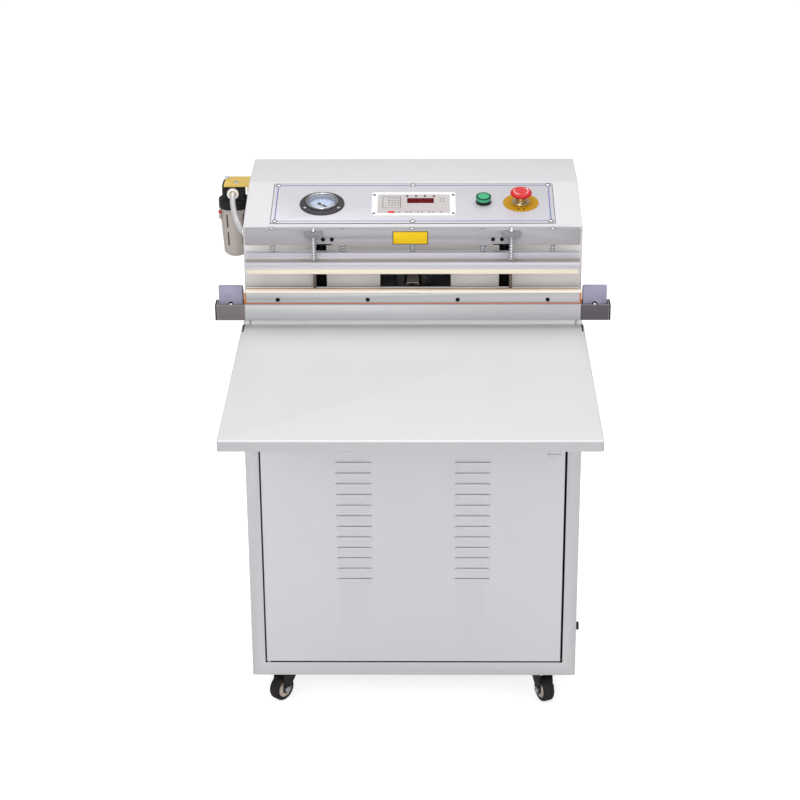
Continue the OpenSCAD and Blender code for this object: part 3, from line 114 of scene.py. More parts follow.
class Grain(Enum):
    """The way that the streaks of a metal run."""

    NONE = (1.0, 1.0, 1.0)
    ALONG_X = (0.02, 1.0, 1.0)
    ALONG_Y = (1.0, 0.02, 1.0)
    ALONG_Z = (1.0, 1.0, 0.02)


@dataclass(frozen=True)
class Finish:
    """A surface finish: its colour and gloss, a slow mottle of its tone and a fine grain in its relief."""

    name: str
    slot: str
    colour: Colour
    roughness: float = 0.45
    metallic: float = 0.0
    coat: float = 0.0
    transmission: float = 0.0
    tone: float = 0.03
    mottle: float = 9.0
    grain_size: float = 1.2
    grain_depth: float = 0.02
    grain: Grain = Grain.NONE
    glow: float = 0.0
    alpha: float = 1.0
    specular: float = 0.5

    def material(self) -> bpy.types.Material:
        """Builds the material once and then hands the same one out.

        Returns:
            The material with its nodes.
        """
        found = bpy.data.materials.get(self.name)
        return found if found else self._build()

    def _build(self) -> bpy.types.Material:
        """Object coordinates drive a slow noise for tone and gloss and a fine one for relief.

        Returns:
            The new material.
        """
        made = bpy.data.materials.new(self.name)
        made.use_nodes = True
        nodes, links = made.node_tree.nodes, made.node_tree.links
        shader = nodes["Principled BSDF"]
        place = nodes.new("ShaderNodeTexCoord")
        stretch = nodes.new("ShaderNodeMapping")
        stretch.inputs["Scale"].default_value = self.grain.value
        links.new(place.outputs["Object"], stretch.inputs["Vector"])
        slow = self._noise(nodes, links, place.outputs["Object"], self.mottle, 3.0)
        fine = self._noise(nodes, links, stretch.outputs["Vector"], 1.0 / (self.grain_size * MM), 2.0)
        both = nodes.new("ShaderNodeMath")
        both.operation = "MULTIPLY_ADD"
        both.inputs[1].default_value = 1.0 if self.grain is not Grain.NONE else 0.3
        links.new(fine, both.inputs[0])
        links.new(slow, both.inputs[2])
        for socket, low, high in self._spans():
            span = nodes.new("ShaderNodeMapRange")
            span.inputs["From Min"].default_value = 0.3
            span.inputs["From Max"].default_value = 1.3
            if socket == "Base Color":
                tint = nodes.new("ShaderNodeMix")
                tint.data_type = "RGBA"
                tint.inputs[6].default_value = (*[c * low for c in self.colour], 1.0)
                tint.inputs[7].default_value = (*[min(1.0, c * high) for c in self.colour], 1.0)
                links.new(both.outputs[0], span.inputs["Value"])
                links.new(span.outputs["Result"], tint.inputs[0])
                links.new(tint.outputs[2], shader.inputs[socket])
                continue
            span.inputs["To Min"].default_value = low
            span.inputs["To Max"].default_value = high
            links.new(both.outputs[0], span.inputs["Value"])
            links.new(span.outputs["Result"], shader.inputs[socket])
        relief = nodes.new("ShaderNodeBump")
        relief.inputs["Strength"].default_value = 1.0
        relief.inputs["Distance"].default_value = self.grain_depth * MM
        links.new(fine, relief.inputs["Height"])
        links.new(relief.outputs["Normal"], shader.inputs["Normal"])
        shader.inputs["Metallic"].default_value = self.metallic
        shader.inputs["Coat Weight"].default_value = self.coat
        shader.inputs["Coat Roughness"].default_value = 0.12
        shader.inputs["Transmission Weight"].default_value = self.transmission
        shader.inputs["Alpha"].default_value = self.alpha
        shader.inputs["Specular IOR Level"].default_value = self.specular
        if self.glow:
            shader.inputs["Emission Color"].default_value = (*self.colour, 1.0)
            shader.inputs["Emission Strength"].default_value = self.glow
        made.diffuse_color = (*self.colour, 1.0)
        return made

    def _spans(self) -> list[tuple[str, float, float]]:
        """The sockets that the noise drives, each with its low and high value.

        Returns:
            Rows of socket, low value and high value.
        """
        return [
            ("Base Color", 1.0 - self.tone, 1.0 + self.tone),
            ("Roughness", max(0.02, self.roughness - 0.05), min(1.0, self.roughness + 0.05)),
        ]

    @staticmethod
    def _noise(nodes: bpy.types.Nodes, links: bpy.types.NodeLinks, vector: bpy.types.NodeSocket,
               scale: float, detail: float) -> bpy.types.NodeSocket:
        """A noise texture over a vector.

        Args:
            nodes: The tree's nodes.
            links: The tree's links.
            vector: The socket that the noise reads.
            scale: Its scale, in waves per metre.
            detail: Its octaves.

        Returns:
            The noise's factor socket.
        """
        noise = nodes.new("ShaderNodeTexNoise")
        noise.inputs["Scale"].default_value = scale
        noise.inputs["Detail"].default_value = detail
        links.new(vector, noise.inputs["Vector"])
        return noise.outputs["Fac"]


PAINT = Finish("cabinet_paint", "painted_steel", (0.585, 0.57, 0.59), 0.42, 0.0, 0.25, tone=0.015)
HEAD_PAINT = Finish("head_paint", "painted_steel", (0.69, 0.68, 0.70), 0.38, 0.0, 0.25, tone=0.015)
# A lighter copy of the cabinet paint for the door and its latch: painted light where the lamps reach the
# lower front less.
DOOR_LIT_PAINT = Finish("door_painted_light", "painted_steel", (0.64, 0.63, 0.655), 0.42, 0.0, 0.25, tone=0.015)
TABLE_PAINT = Finish("table_paint", "painted_steel", (0.69, 0.685, 0.70), 0.36, 0.0, 0.25, tone=0.015)
# The table's front rim: a darker copy of the table paint, painted shade on the faces that look forward.
RIM_SHADED_PAINT = Finish("rim_painted_shade", "painted_steel", (0.46, 0.445, 0.465), 0.45, 0.0, 0.1, tone=0.015)
# A lighter copy of the head paint for the panel behind the jaw: painted light on a panel that lies in the
# beam's shade.
PANEL_LIT_PAINT = Finish("panel_painted_light", "painted_steel", (0.80, 0.77, 0.75), 0.5, tone=0.015)
# A much lighter copy of the table paint for the rear lip: painted light on a lip that sits under the tube.
LIP_LIT_PAINT = Finish("lip_painted_light", "painted_steel", (0.90, 0.89, 0.90), 0.4, 0.0, 0.2, tone=0.015)
# Near-black painted shade: thin sheets of it stand where gaps, slots and corners fall into shade.
SHADE = Finish("shaded_gap", "blackened_steel", (0.012, 0.012, 0.012), 0.7, tone=0.2, specular=0.1)
NOZZLE = Finish("dull_stainless", "stainless", (0.26, 0.235, 0.215), 0.4, 0.6, tone=0.05, grain_size=0.6,
                grain_depth=0.004, grain=Grain.ALONG_Y)
PLATE = Finish("control_plate_lacquer", "control_face", (0.60, 0.595, 0.635), 0.35, 0.1, 0.3, tone=0.02)
BORDER = Finish("plate_border_blue", "control_face", (0.20, 0.22, 0.42), 0.45, specular=0.2)
# Dark brown-grey for the control plate's edge, partly its own side wall and partly painted shadow below it;
# it also makes the painted shade rings round the plate's screws.
PLATE_EDGE_AND_SHADOW = Finish("plate_edge_and_shadow", "control_face", (0.10, 0.09, 0.085), 0.5, specular=0.2)
BLACK_STEEL = Finish("black_pressed_steel", "blackened_steel", (0.016, 0.015, 0.016), 0.45, 0.1, tone=0.2,
                     specular=0.3)
BLACK_OXIDE = Finish("black_oxide", "blackened_steel", (0.004, 0.004, 0.005), 0.6, tone=0.2, specular=0.05)
CASE_BLACK = Finish("gauge_black", "blackened_steel", (0.045, 0.038, 0.043), 0.45, 0.1, 0.1, tone=0.15,
                    specular=0.3)
ZINC = Finish("zinc_plate", "zinc", (0.55, 0.56, 0.58), 0.32, 0.85, tone=0.12, mottle=60.0, grain_size=0.4,
              grain_depth=0.01)
ZINC_ROUGH = Finish("rough_zinc", "zinc", (0.25, 0.245, 0.26), 0.55, 0.3, tone=0.14, mottle=90.0,
                    grain_size=0.6, grain_depth=0.03)
ZINC_DARK = Finish("dull_zinc", "zinc", (0.22, 0.22, 0.24), 0.4, 0.7, tone=0.12, mottle=60.0, grain_size=0.4)
SPRING = Finish("spring_wire", "zinc", (0.80, 0.80, 0.81), 0.3, 0.6, tone=0.15, mottle=80.0, grain_size=0.3)
ROD_GREY = Finish("guide_rod_grey", "bright_steel", (0.135, 0.115, 0.10), 0.4, 0.3, tone=0.1, mottle=40.0)
CHROME = Finish("bright_turned_steel", "bright_steel", (0.74, 0.75, 0.78), 0.16, 1.0, tone=0.04, mottle=40.0,
                grain_size=0.3, grain_depth=0.003)
ALUMINIUM = Finish("drawn_aluminium", "extrusion", (0.50, 0.495, 0.515), 0.52, 0.25, tone=0.06, mottle=12.0,
                   grain_size=0.35, grain_depth=0.006, grain=Grain.ALONG_X)
BEAM_GREY = replace(ALUMINIUM, name="beam_aluminium", colour=(0.37, 0.36, 0.38), roughness=0.6,
                    metallic=0.15)
ALUMINIUM_PALE = replace(ALUMINIUM, name="pale_aluminium", colour=(0.62, 0.615, 0.665), roughness=0.5,
                         metallic=0.2)
# Dark grey for the tube's ends past the table, the right one darker: painted shade, for ends that reflect a
# darker surround than the middle does.
TUBE_END_SHADE = Finish("tube_end_painted_shade", "extrusion", (0.175, 0.155, 0.165), 0.55, 0.2, tone=0.12, mottle=40.0,
                grain_size=0.5, grain_depth=0.01, grain=Grain.ALONG_X, specular=0.3)
TUBE_END_SHADE_DARK = replace(TUBE_END_SHADE, name="tube_end_painted_shade_dark", colour=(0.095, 0.085, 0.095))
# A dark warm sheet for the carrier's ledge: painted shade and painted reflection under the beam.
LEDGE_SHADE = Finish("ledge_painted_shade", "extrusion", (0.37, 0.335, 0.315), 0.6, 0.1, tone=0.06, specular=0.2)
WHITE_TAPE = Finish("white_tape", "heater_tape", (0.86, 0.86, 0.87), 0.5, tone=0.02)
SILICONE = Finish("cream_silicone", "silicone", (0.93, 0.85, 0.72), 0.62, mottle=25.0, grain_size=0.8)
# A darker, warmer copy of the cream silicone for the upper strip: painted shade on its face under the
# carrier.
SILICONE_SHADED = replace(SILICONE, name="silicone_painted_shade", colour=(0.90, 0.80, 0.66), roughness=0.6)
HEATER = Finish("heater_foil", "heater_tape", (0.52, 0.18, 0.06), 0.5, tone=0.12, mottle=60.0,
                grain_size=0.5)
COVER = Finish("cover_moulding", "cover_plastic", (0.31, 0.30, 0.40), 0.5, tone=0.04, mottle=30.0,
               grain_size=0.5)
BLACK_PLASTIC = Finish("black_moulding", "black_plastic", (0.014, 0.014, 0.016), 0.5, tone=0.2,
                       grain_size=0.5, specular=0.25)
BEAM_BLACK = Finish("cap_black", "black_plastic", (0.006, 0.006, 0.007), 0.6, tone=0.2, specular=0.1)
BRASS = Finish("turned_brass", "bright_steel", (0.62, 0.44, 0.18), 0.28, 0.9, tone=0.05, mottle=40.0,
               grain_size=0.3)
# Very dark brown for the bowl's slots: painted shade seen through them.
SLOT_SHADE = Finish("slot_painted_shade", "grey_plastic", (0.05, 0.022, 0.014), 0.6, tone=0.1, specular=0.1)
BLUE_ZINC = Finish("blue_zinc", "zinc", (0.45, 0.58, 0.72), 0.3, 0.8, tone=0.1, mottle=60.0, grain_size=0.4)
GREY_PLASTIC = Finish("bowl_moulding", "grey_plastic", (0.50, 0.455, 0.42), 0.45, 0.0, 0.1, tone=0.05,
                      grain_size=0.6, grain_depth=0.03)
WHITE_PLASTIC = Finish("white_moulding", "white_plastic", (0.90, 0.90, 0.90), 0.3, 0.0, 0.3, tone=0.02)
KEYPAD = Finish("keypad_sheet", "keypad_film", (0.53, 0.495, 0.485), specular=0.4)
KEY_GREY = Finish("key_film_grey", "keypad_film", (0.56, 0.53, 0.53), 0.4)
KEY_LINE = Finish("key_outline", "keypad_film", (0.07, 0.09, 0.12), 0.5, specular=0.2)
# The red key glows though it holds no lamp: painted light that makes it read bright.
KEY_RED_GLOWING = Finish("key_film_red_painted_glow", "keypad_film", (0.62, 0.006, 0.006), 0.4, glow=0.3, specular=0.15)
DISPLAY = Finish("display_window", "display_red", (0.09, 0.001, 0.002), 0.45, tone=0.05, specular=0.05)
DIGITS = Finish("dim_digits", "display_red", (0.30, 0.010, 0.022), 0.4, specular=0.05)
DOT_RED = Finish("led_red", "display_red", (0.07, 0.001, 0.006), 0.45, tone=0.05, specular=0.05)
MARK_WHITE = Finish("mark_white", "white_plastic", (0.85, 0.85, 0.88), 0.5)
MARK_DARK = Finish("mark_dark", "black_plastic", (0.02, 0.02, 0.024), 0.5, specular=0.15)
YELLOW = Finish("yellow_enamel", "yellow_paint", (0.84, 0.56, 0.004), specular=0.25)
AMBER = Finish("amber_enamel", "yellow_paint", (0.50, 0.265, 0.003), specular=0.2)
YELLOW_ZINC = Finish("passivated_zinc", "yellow_zinc", (0.72, 0.50, 0.11), 0.42, 0.2, tone=0.1, mottle=50.0)
DIAL = Finish("dial_enamel", "dial_face", (0.50, 0.58, 0.76), 0.5, tone=0.02, specular=0.2)
DARK_CHROME = Finish("dark_chrome", "bright_steel", (0.45, 0.45, 0.47), 0.1, 1.0, tone=0.1, mottle=40.0)
CLEAR = Finish("clear_lens", "clear", (0.90, 0.94, 0.97), 0.05, tone=0.0, grain_depth=0.0, alpha=0.05)
HOSE = Finish("clear_hose_wall", "clear_hose", (0.86, 0.85, 0.86), 0.16, transmission=0.55, tone=0.01,
              grain_depth=0.004)
GREEN = Finish("green_lens", "green_lens", (0.012, 0.30, 0.145), 0.22, 0.0, 0.1, tone=0.06, mottle=60.0,
               specular=0.25)
GREEN_DARK = Finish("green_rim", "green_lens", (0.003, 0.07, 0.032), 0.3, tone=0.06, mottle=60.0,
                    specular=0.2)
RED = Finish("red_mushroom", "red_plastic", (0.60, 0.012, 0.012), 0.3, 0.0, 0.1, tone=0.04, specular=0.3)
# A lighter, glossier copy of the mushroom's red for its top: painted light where the top faces the lamps.
RED_LIT = Finish("red_top_painted_light", "red_plastic", (0.66, 0.035, 0.035), 0.3, 0.0, 0.1, tone=0.04, specular=0.4)
NECK = replace(BRASS, name="neck_steel", colour=(0.66, 0.58, 0.42), roughness=0.22, metallic=1.0)
TYRE = Finish("tyre_rubber", "tyre_black", (0.017, 0.014, 0.015), 0.6, tone=0.25, mottle=70.0,
              grain_size=0.8, grain_depth=0.06, specular=0.25)
HUB = Finish("hub_cream", "tyre_black", (0.62, 0.53, 0.45), 0.45, tone=0.06, mottle=50.0)
PUMP_PAINT = Finish("pump_enamel", "pump_paint", (0.10, 0.18, 0.30), 0.42, 0.0, 0.2, tone=0.08, mottle=30.0,
                    grain_size=2.0, grain_depth=0.1)
COPPER = Finish("wound_copper", "coil_copper", (0.50, 0.22, 0.08), 0.35, 0.7, tone=0.15, grain=Grain.ALONG_Y,
                grain_size=0.8, grain_depth=0.1)


@dataclass(frozen=True)
class Seat:
    """A place in machine millimetres with the directions of its own x, y and z."""

    origin: tuple[float, float, float] = (0.0, 0.0, 0.0)
    x: tuple[float, float, float] = (1.0, 0.0, 0.0)
    y: tuple[float, float, float] = (0.0, 1.0, 0.0)
    z: tuple[float, float, float] = (0.0, 0.0, 1.0)

    def world(self, local: Array) -> Array:
        """Takes local millimetres to the frame's metres: the point times the directions, plus the origin."""
        return (np.asarray(local, float) @ np.array([self.x, self.y, self.z]) + self.origin + SHIFT) * MM

    def moved(self, dx: float, dy: float, dz: float = 0.0) -> "Seat":
        """The same seat, moved along its own directions."""
        step = np.array([dx, dy, dz]) @ np.array([self.x, self.y, self.z])
        return Seat(tuple(np.array(self.origin) + step), self.x, self.y, self.z)

    def turned(self, degrees: float) -> "Seat":
        """The same seat, turned about its own z.

        Args:
            degrees: The angle, anticlockwise.

        Returns:
            The turned seat.
        """
        a = np.radians(degrees)
        x, y, c, s = np.array(self.x), np.array(self.y), np.cos(a), np.sin(a)
        return Seat(self.origin, tuple(x * c + y * s), tuple(y * c - x * s), self.z)


@dataclass
class Surface:
    """Points in local millimetres and faces that index them."""

    points: Array
    faces: list[Sequence[int]]

    def __add__(self, other: "Surface") -> "Surface":
        """Both surfaces in one mesh.

        Args:
            other: The surface that comes after this one.

        Returns:
            The joined surface.
        """
        step = len(self.points)
        return Surface(np.vstack([self.points, other.points]),
                       self.faces + [[i + step for i in face] for face in other.faces])

    def seated(self, seat: Seat) -> "Surface":
        """The surface in machine millimetres, after its local ones are placed on a seat."""
        return Surface(seat.world(self.points) / MM - SHIFT, self.faces)


def joined(parts: Iterable[Surface]) -> Surface:
    """Several surfaces in one mesh, in their order."""
    return reduce(Surface.__add__, parts)


def quads(rows: int, cols: int, wrap_rows: bool = False, wrap_cols: bool = False) -> Array:
    """The faces of a grid of points that is stored row by row.

    Args:
        rows: Number of rows.
        cols: Number of points in a row.
        wrap_rows: Whether the last row joins the first.
        wrap_cols: Whether a row's last point joins its first.

    Returns:
        An array with four indices a face.
    """
    i = np.arange(rows if wrap_rows else rows - 1)[:, None]
    j = np.arange(cols if wrap_cols else cols - 1)[None, :]
    i2, j2 = (i + 1) % rows, (j + 1) % cols
    corners = np.broadcast_arrays(i * cols + j, i * cols + j2, i2 * cols + j2, i2 * cols + j)
    return np.stack(corners, -1).reshape(-1, 4)


def lathe(profile: Sequence[tuple[float, float]], sides: int = 64) -> Surface:
    """A profile of radius and height turned about z: x = r cos a, y = r sin a, z = h.

    Args:
        profile: Points of radius and height, from one end to the other.
        sides: Points round the axis.

    Returns:
        The turned surface.
    """
    r, h = np.array(profile, float).T
    a = np.linspace(0, 2 * np.pi, sides, endpoint=False)
    points = np.stack([np.outer(r, np.cos(a)), np.outer(r, np.sin(a)), np.outer(h, np.ones(sides))], -1)
    return Surface(points.reshape(-1, 3), quads(len(r), sides, wrap_cols=True).tolist())


def arc(centre: tuple[float, float], radius: float, start: float, end: float, steps: int = 6) -> list:
    """Points on a circle: centre + radius times cosine and sine of an angle from start to end degrees."""
    a = np.radians(np.linspace(start, end, steps + 1))
    return np.stack([centre[0] + radius * np.cos(a), centre[1] + radius * np.sin(a)], 1).tolist()


def round_rect(width: float, height: float, radius: float, steps: int = 6) -> Array:
    """A rectangle about zero with its corners as quarter circles, anticlockwise.

    Args:
        width: Its size in x.
        height: Its size in y.
        radius: Radius of the corners.
        steps: Steps round each corner.

    Returns:
        The closed outline.
    """
    x, y = width / 2 - radius, height / 2 - radius
    corners = [((x, -y), -90), ((x, y), 0), ((-x, y), 90), ((-x, -y), 180)]
    return np.array([p for c, a in corners for p in arc(c, radius, a, a + 90, steps)])


def filleted(corners: Sequence[tuple[float, float, float]], steps: int = 6) -> Array:
    """A closed outline whose corners, given as x, y and radius, become arcs tangent to both of their edges.

    Args:
        corners: The corner points, anticlockwise, each with its radius.
        steps: Steps along each arc.

    Returns:
        The outline's points.
    """
    pts = np.array(corners, float)
    out = []
    for i, (x, y, radius) in enumerate(pts):
        here = np.array([x, y])
        a = pts[i - 1][:2] - here
        b = pts[(i + 1) % len(pts)][:2] - here
        a, b = a / np.linalg.norm(a), b / np.linalg.norm(b)
        half = np.arccos(np.clip(a @ b, -1, 1)) / 2
        if radius <= 0:
            out.append(here)
            continue
        middle = (a + b) / np.linalg.norm(a + b) * radius / np.sin(half)
        start, end = a * radius / np.tan(half) - middle, b * radius / np.tan(half) - middle
        t = np.linspace(0, 1, steps + 1)[:, None]
        turn = np.pi - 2 * half
        blend = (np.sin((1 - t) * turn) * start + np.sin(t * turn) * end) / np.sin(turn)
        out.extend(here + middle + blend)
    return np.array(out)


def inset(outline: Array, distance: Array) -> Array:
    """An outline moved inwards: each point goes along its edges' mitre by the distance over the cosine.

    Args:
        outline: The closed outline, anticlockwise.
        distance: The distances, one for each ring.

    Returns:
        One ring for each distance.
    """
    edge = np.roll(outline, -1, 0) - outline
    edge /= np.maximum(np.linalg.norm(edge, axis=1, keepdims=True), 1e-9)
    normal = np.stack([-edge[:, 1], edge[:, 0]], 1)
    both = normal + np.roll(normal, 1, 0)
    mitre = both / np.maximum((both * both).sum(1, keepdims=True) / 2, 0.2)
    return outline[None] + mitre[None] * np.asarray(distance, float).reshape(-1, 1, 1)


def stacked(rings: Array, level: Array) -> Array:
    """The points of rings in x and y, ring by ring, each ring at its level in z."""
    heights = np.broadcast_to(level[:, None, None], (*rings.shape[:2], 1))
    return np.concatenate([rings, heights], 2).reshape(-1, 3)


def flat_ring(outer: Array, inner: Array, height: float) -> Surface:
    """The flat band at a height between two outlines of as many points."""
    points = stacked(np.stack([outer, inner]), np.full(2, height))
    return Surface(points, quads(2, len(outer), wrap_cols=True).tolist())


def slab(outline: Array, low: float, high: float, edge: float = 0.5, steps: int = 3) -> Surface:
    """An outline drawn from low to high, both rims rounded: the inset follows edge times (1 - cos a).

    Args:
        outline: The closed outline, anticlockwise.
        low: Height of the lower face.
        high: Height of the upper face.
        edge: Radius of the rims.
        steps: Steps round each rim.

    Returns:
        The closed surface with a flat cap at each end.
    """
    a = np.linspace(0, np.pi / 2, steps + 1)
    drop = np.concatenate([edge * (1 - np.sin(a)), edge * (1 - np.cos(a))])
    level = np.concatenate([low + edge * (1 - np.cos(a)), high - edge * (1 - np.sin(a))])
    n = len(outline)
    faces = quads(len(level), n, wrap_cols=True).tolist()
    last = (len(level) - 1) * n
    caps = [list(range(n))[::-1], [last + i for i in range(n)]]
    return Surface(stacked(inset(outline, drop), level), faces + caps)


def tube(path: Array, radius: float | Array, sides: int = 12, up: Array | None = None) -> Surface:
    """A round tube along a path: each ring is the point plus radius times two directions square to it.

    Args:
        path: The points of the centre line.
        radius: The radius, one value or one for each point.
        sides: Points round a ring.
        up: A direction for each ring that isn't along the path; the vertical if left out.

    Returns:
        The tube with flat caps.
    """
    path = np.asarray(path, float)
    along = np.gradient(path, axis=0)
    along /= np.linalg.norm(along, axis=1, keepdims=True)
    side = np.cross(along, np.array([0.0, 0.0, 1.0]) if up is None else up)
    side /= np.linalg.norm(side, axis=1, keepdims=True)
    over = np.cross(side, along)
    a = np.linspace(0, 2 * np.pi, sides, endpoint=False)
    wide = np.broadcast_to(np.asarray(radius, float), (len(path),))[:, None, None]
    ring = side[:, None] * np.cos(a)[None, :, None] + over[:, None] * np.sin(a)[None, :, None]
    points = (path[:, None] + wide * ring).reshape(-1, 3)
    last = (len(path) - 1) * sides
    caps = [list(range(sides))[::-1], [last + i for i in range(sides)]]
    return Surface(points, quads(len(path), sides, wrap_cols=True).tolist() + caps)


def mended(mesh: bpy.types.Mesh, outward: bool, flatten: float = 0.0) -> None:
    """Merges a mesh's doubles, and turns its faces outwards or joins the flat ones where that is asked for.

    Args:
        mesh: The mesh, in metres.
        outward: Whether its normals are worked out again.
        flatten: The angle in degrees below which neighbouring faces are joined; none with zero.
    """
    work = bmesh.new()
    work.from_mesh(mesh)
    bmesh.ops.remove_doubles(work, verts=work.verts, dist=MERGE_M)
    if flatten:
        bmesh.ops.dissolve_limit(work, angle_limit=np.radians(flatten), verts=work.verts, edges=work.edges)
    if outward:
        bmesh.ops.recalc_face_normals(work, faces=work.faces)
    work.to_mesh(mesh)
    work.free()


def make_piece(name: str, surface: Surface, finish: Finish, body: str, seat: Seat = Seat(),
               smooth: float = 35.0, mend: bool = True) -> bpy.types.Object:
    """Makes an object of a surface, its doubles merged and its faces outwards, that rides on a body.

    Args:
        name: The piece's name.
        surface: Its points and faces.
        finish: Its finish.
        body: The body that it rides on.
        seat: Where its local millimetres lie.
        smooth: The angle in degrees below which an edge is shaded smooth.
        mend: Whether the normals are worked out again; off for an open sheet that already points outwards.

    Returns:
        The new object.
    """
    mesh = bpy.data.meshes.new(name)
    mesh.from_pydata(seat.world(surface.points).tolist(), [], surface.faces)
    mended(mesh, mend)
    mesh.shade_smooth()
    mesh.set_sharp_from_angle(angle=np.radians(smooth))
    mesh.materials.append(finish.material())
    piece = bpy.data.objects.new(name, mesh)
    bpy.context.scene.collection.objects.link(piece)
    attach(piece, body)
    return piece


def settle(piece: bpy.types.Object, smooth: float = 35.0) -> None:
    """Turns a piece's modifiers into its mesh, so that its mesh holds what is drawn.

    Args:
        piece: The piece's object.
        smooth: The angle in degrees past which an edge stays sharp.
    """
    seen = piece.evaluated_get(bpy.context.evaluated_depsgraph_get())
    mesh = bpy.data.meshes.new_from_object(seen)
    piece.modifiers.clear()
    piece.data = mesh
    mesh.shade_smooth()
    mesh.set_sharp_from_angle(angle=np.radians(smooth))


def thicken(piece: bpy.types.Object, wall: float) -> None:
    """Gives an open sheet its wall, inwards, in millimetres.

    Args:
        piece: The sheet's object.
        wall: Thickness of the wall.
    """
    solid = piece.modifiers.new("wall", "SOLIDIFY")
    solid.thickness = wall * MM
    solid.offset = -1.0
    solid.use_even_offset = True
    settle(piece)


def cut(piece: bpy.types.Object, cutters: Iterable[Surface]) -> None:
    """Takes closed solids, in machine millimetres, out of a piece.

    Args:
        piece: The piece's object.
        cutters: The closed solids.
    """
    for cutter in cutters:
        mesh = bpy.data.meshes.new("cutter")
        mesh.from_pydata(Seat().world(cutter.points).tolist(), [], cutter.faces)
        mended(mesh, True)
        tool = bpy.data.objects.new("cutter", mesh)
        bpy.context.scene.collection.objects.link(tool)
        hole = piece.modifiers.new("hole", "BOOLEAN")
        hole.operation, hole.solver, hole.object = "DIFFERENCE", "EXACT", tool
        settle(piece)
        bpy.data.objects.remove(tool)
        bpy.data.meshes.remove(mesh)


def brick(low: Sequence[float], high: Sequence[float], edge: float = 0.0) -> Surface:
    """A block between two corners in machine millimetres, its upright edges and rims rounded by edge.

    Args:
        low: The lowest corner.
        high: The highest corner.
        edge: Radius of the edges.

    Returns:
        The closed block.
    """
    low, high = np.array(low, float), np.array(high, float)
    size, middle = high - low, (low + high) / 2
    radius = max(edge, 0.01)
    outline = round_rect(size[0], size[1], radius, 4) + middle[:2]
    return slab(outline, low[2], high[2], min(radius, size[2] / 2.01))


def dress(node: str, finish: Finish, edge: float = 0.0, angle: float = 30.0) -> bpy.types.Object:
    """Dresses a CAD node: with an edge radius, a merged copy with softened edges stands for it.

    Args:
        node: The node's name.
        finish: Its finish.
        edge: The radius of the softened edges in millimetres; with zero the node itself shows.
        angle: Edges that turn by more than this many degrees are softened.

    Returns:
        The object that shows.
    """
    source = frame["nodes"][node]
    if not edge:
        source.data.materials.clear()
        source.data.materials.append(finish.material())
        LOG.info("node %s: %s", node, finish.name)
        return source
    mesh = source.data.copy()
    mesh.name = node + "_skin"
    mended(mesh, False, 0.5)
    mesh.materials.clear()
    mesh.materials.append(finish.material())
    piece = bpy.data.objects.new(node + "_skin", mesh)
    bpy.context.scene.collection.objects.link(piece)
    soft = piece.modifiers.new("edges", "BEVEL")
    soft.width, soft.segments = edge * MM, 2
    soft.limit_method, soft.angle_limit = "ANGLE", np.radians(angle)
    soft.harden_normals = True
    soft.use_clamp_overlap = True
    settle(piece, angle + 10.0)
    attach(piece, source["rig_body"])
    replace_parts(piece, node)
    LOG.info("node %s: %s with %.1f mm edges", node, finish.name, edge)
    return piece


def pan_head(radius: float, height: float) -> tuple[Surface, Surface]:
    """A pan head turned from an arc, and the cross that is sunk in it; the cross is drawn dark, as painted
    shade in its recess.

    Args:
        radius: The head's radius.
        height: Its height.

    Returns:
        The head and the cross.
    """
    head = lathe([(0, 0), (radius, 0), (radius, height * 0.35), (radius * 0.86, height * 0.75),
                  (radius * 0.6, height * 0.95), (0, height)], 24)
    long, narrow = radius * 1.1, radius * 0.24
    return head, joined(slab(round_rect(*size, radius * 0.05, 1), height * 0.6, height * 1.03, 0.02, 1)
                        for size in ((long, narrow), (narrow, long)))


def screws(name: str, seats: Sequence[Seat], radius: float, height: float, finish: Finish,
           body: str) -> None:
    """A group of pan-head screws on one body, with their crosses as a darker piece: painted shade in the
    recesses.

    Args:
        name: The group's name.
        seats: Where the heads sit.
        radius: Radius of a head.
        height: Height of a head.
        finish: Finish of the heads.
        body: The body that carries them.
    """
    head, cross = pan_head(radius, height)
    make_piece(name, joined(head.seated(seat) for seat in seats), finish, body)
    make_piece(name + "_cross", joined(cross.seated(seat.turned(30.0)) for seat in seats), MARK_DARK, body)


@dataclass
class SubAssembly:
    """One sub-assembly of the machine."""

    def build(self) -> None:
        """Makes and dresses the pieces."""
        raise NotImplementedError

    def report(self) -> None:
        """Says which sub-assembly has been made."""
        LOG.info("%s made, %d pieces in the scene", type(self).__name__, len(bpy.data.objects))


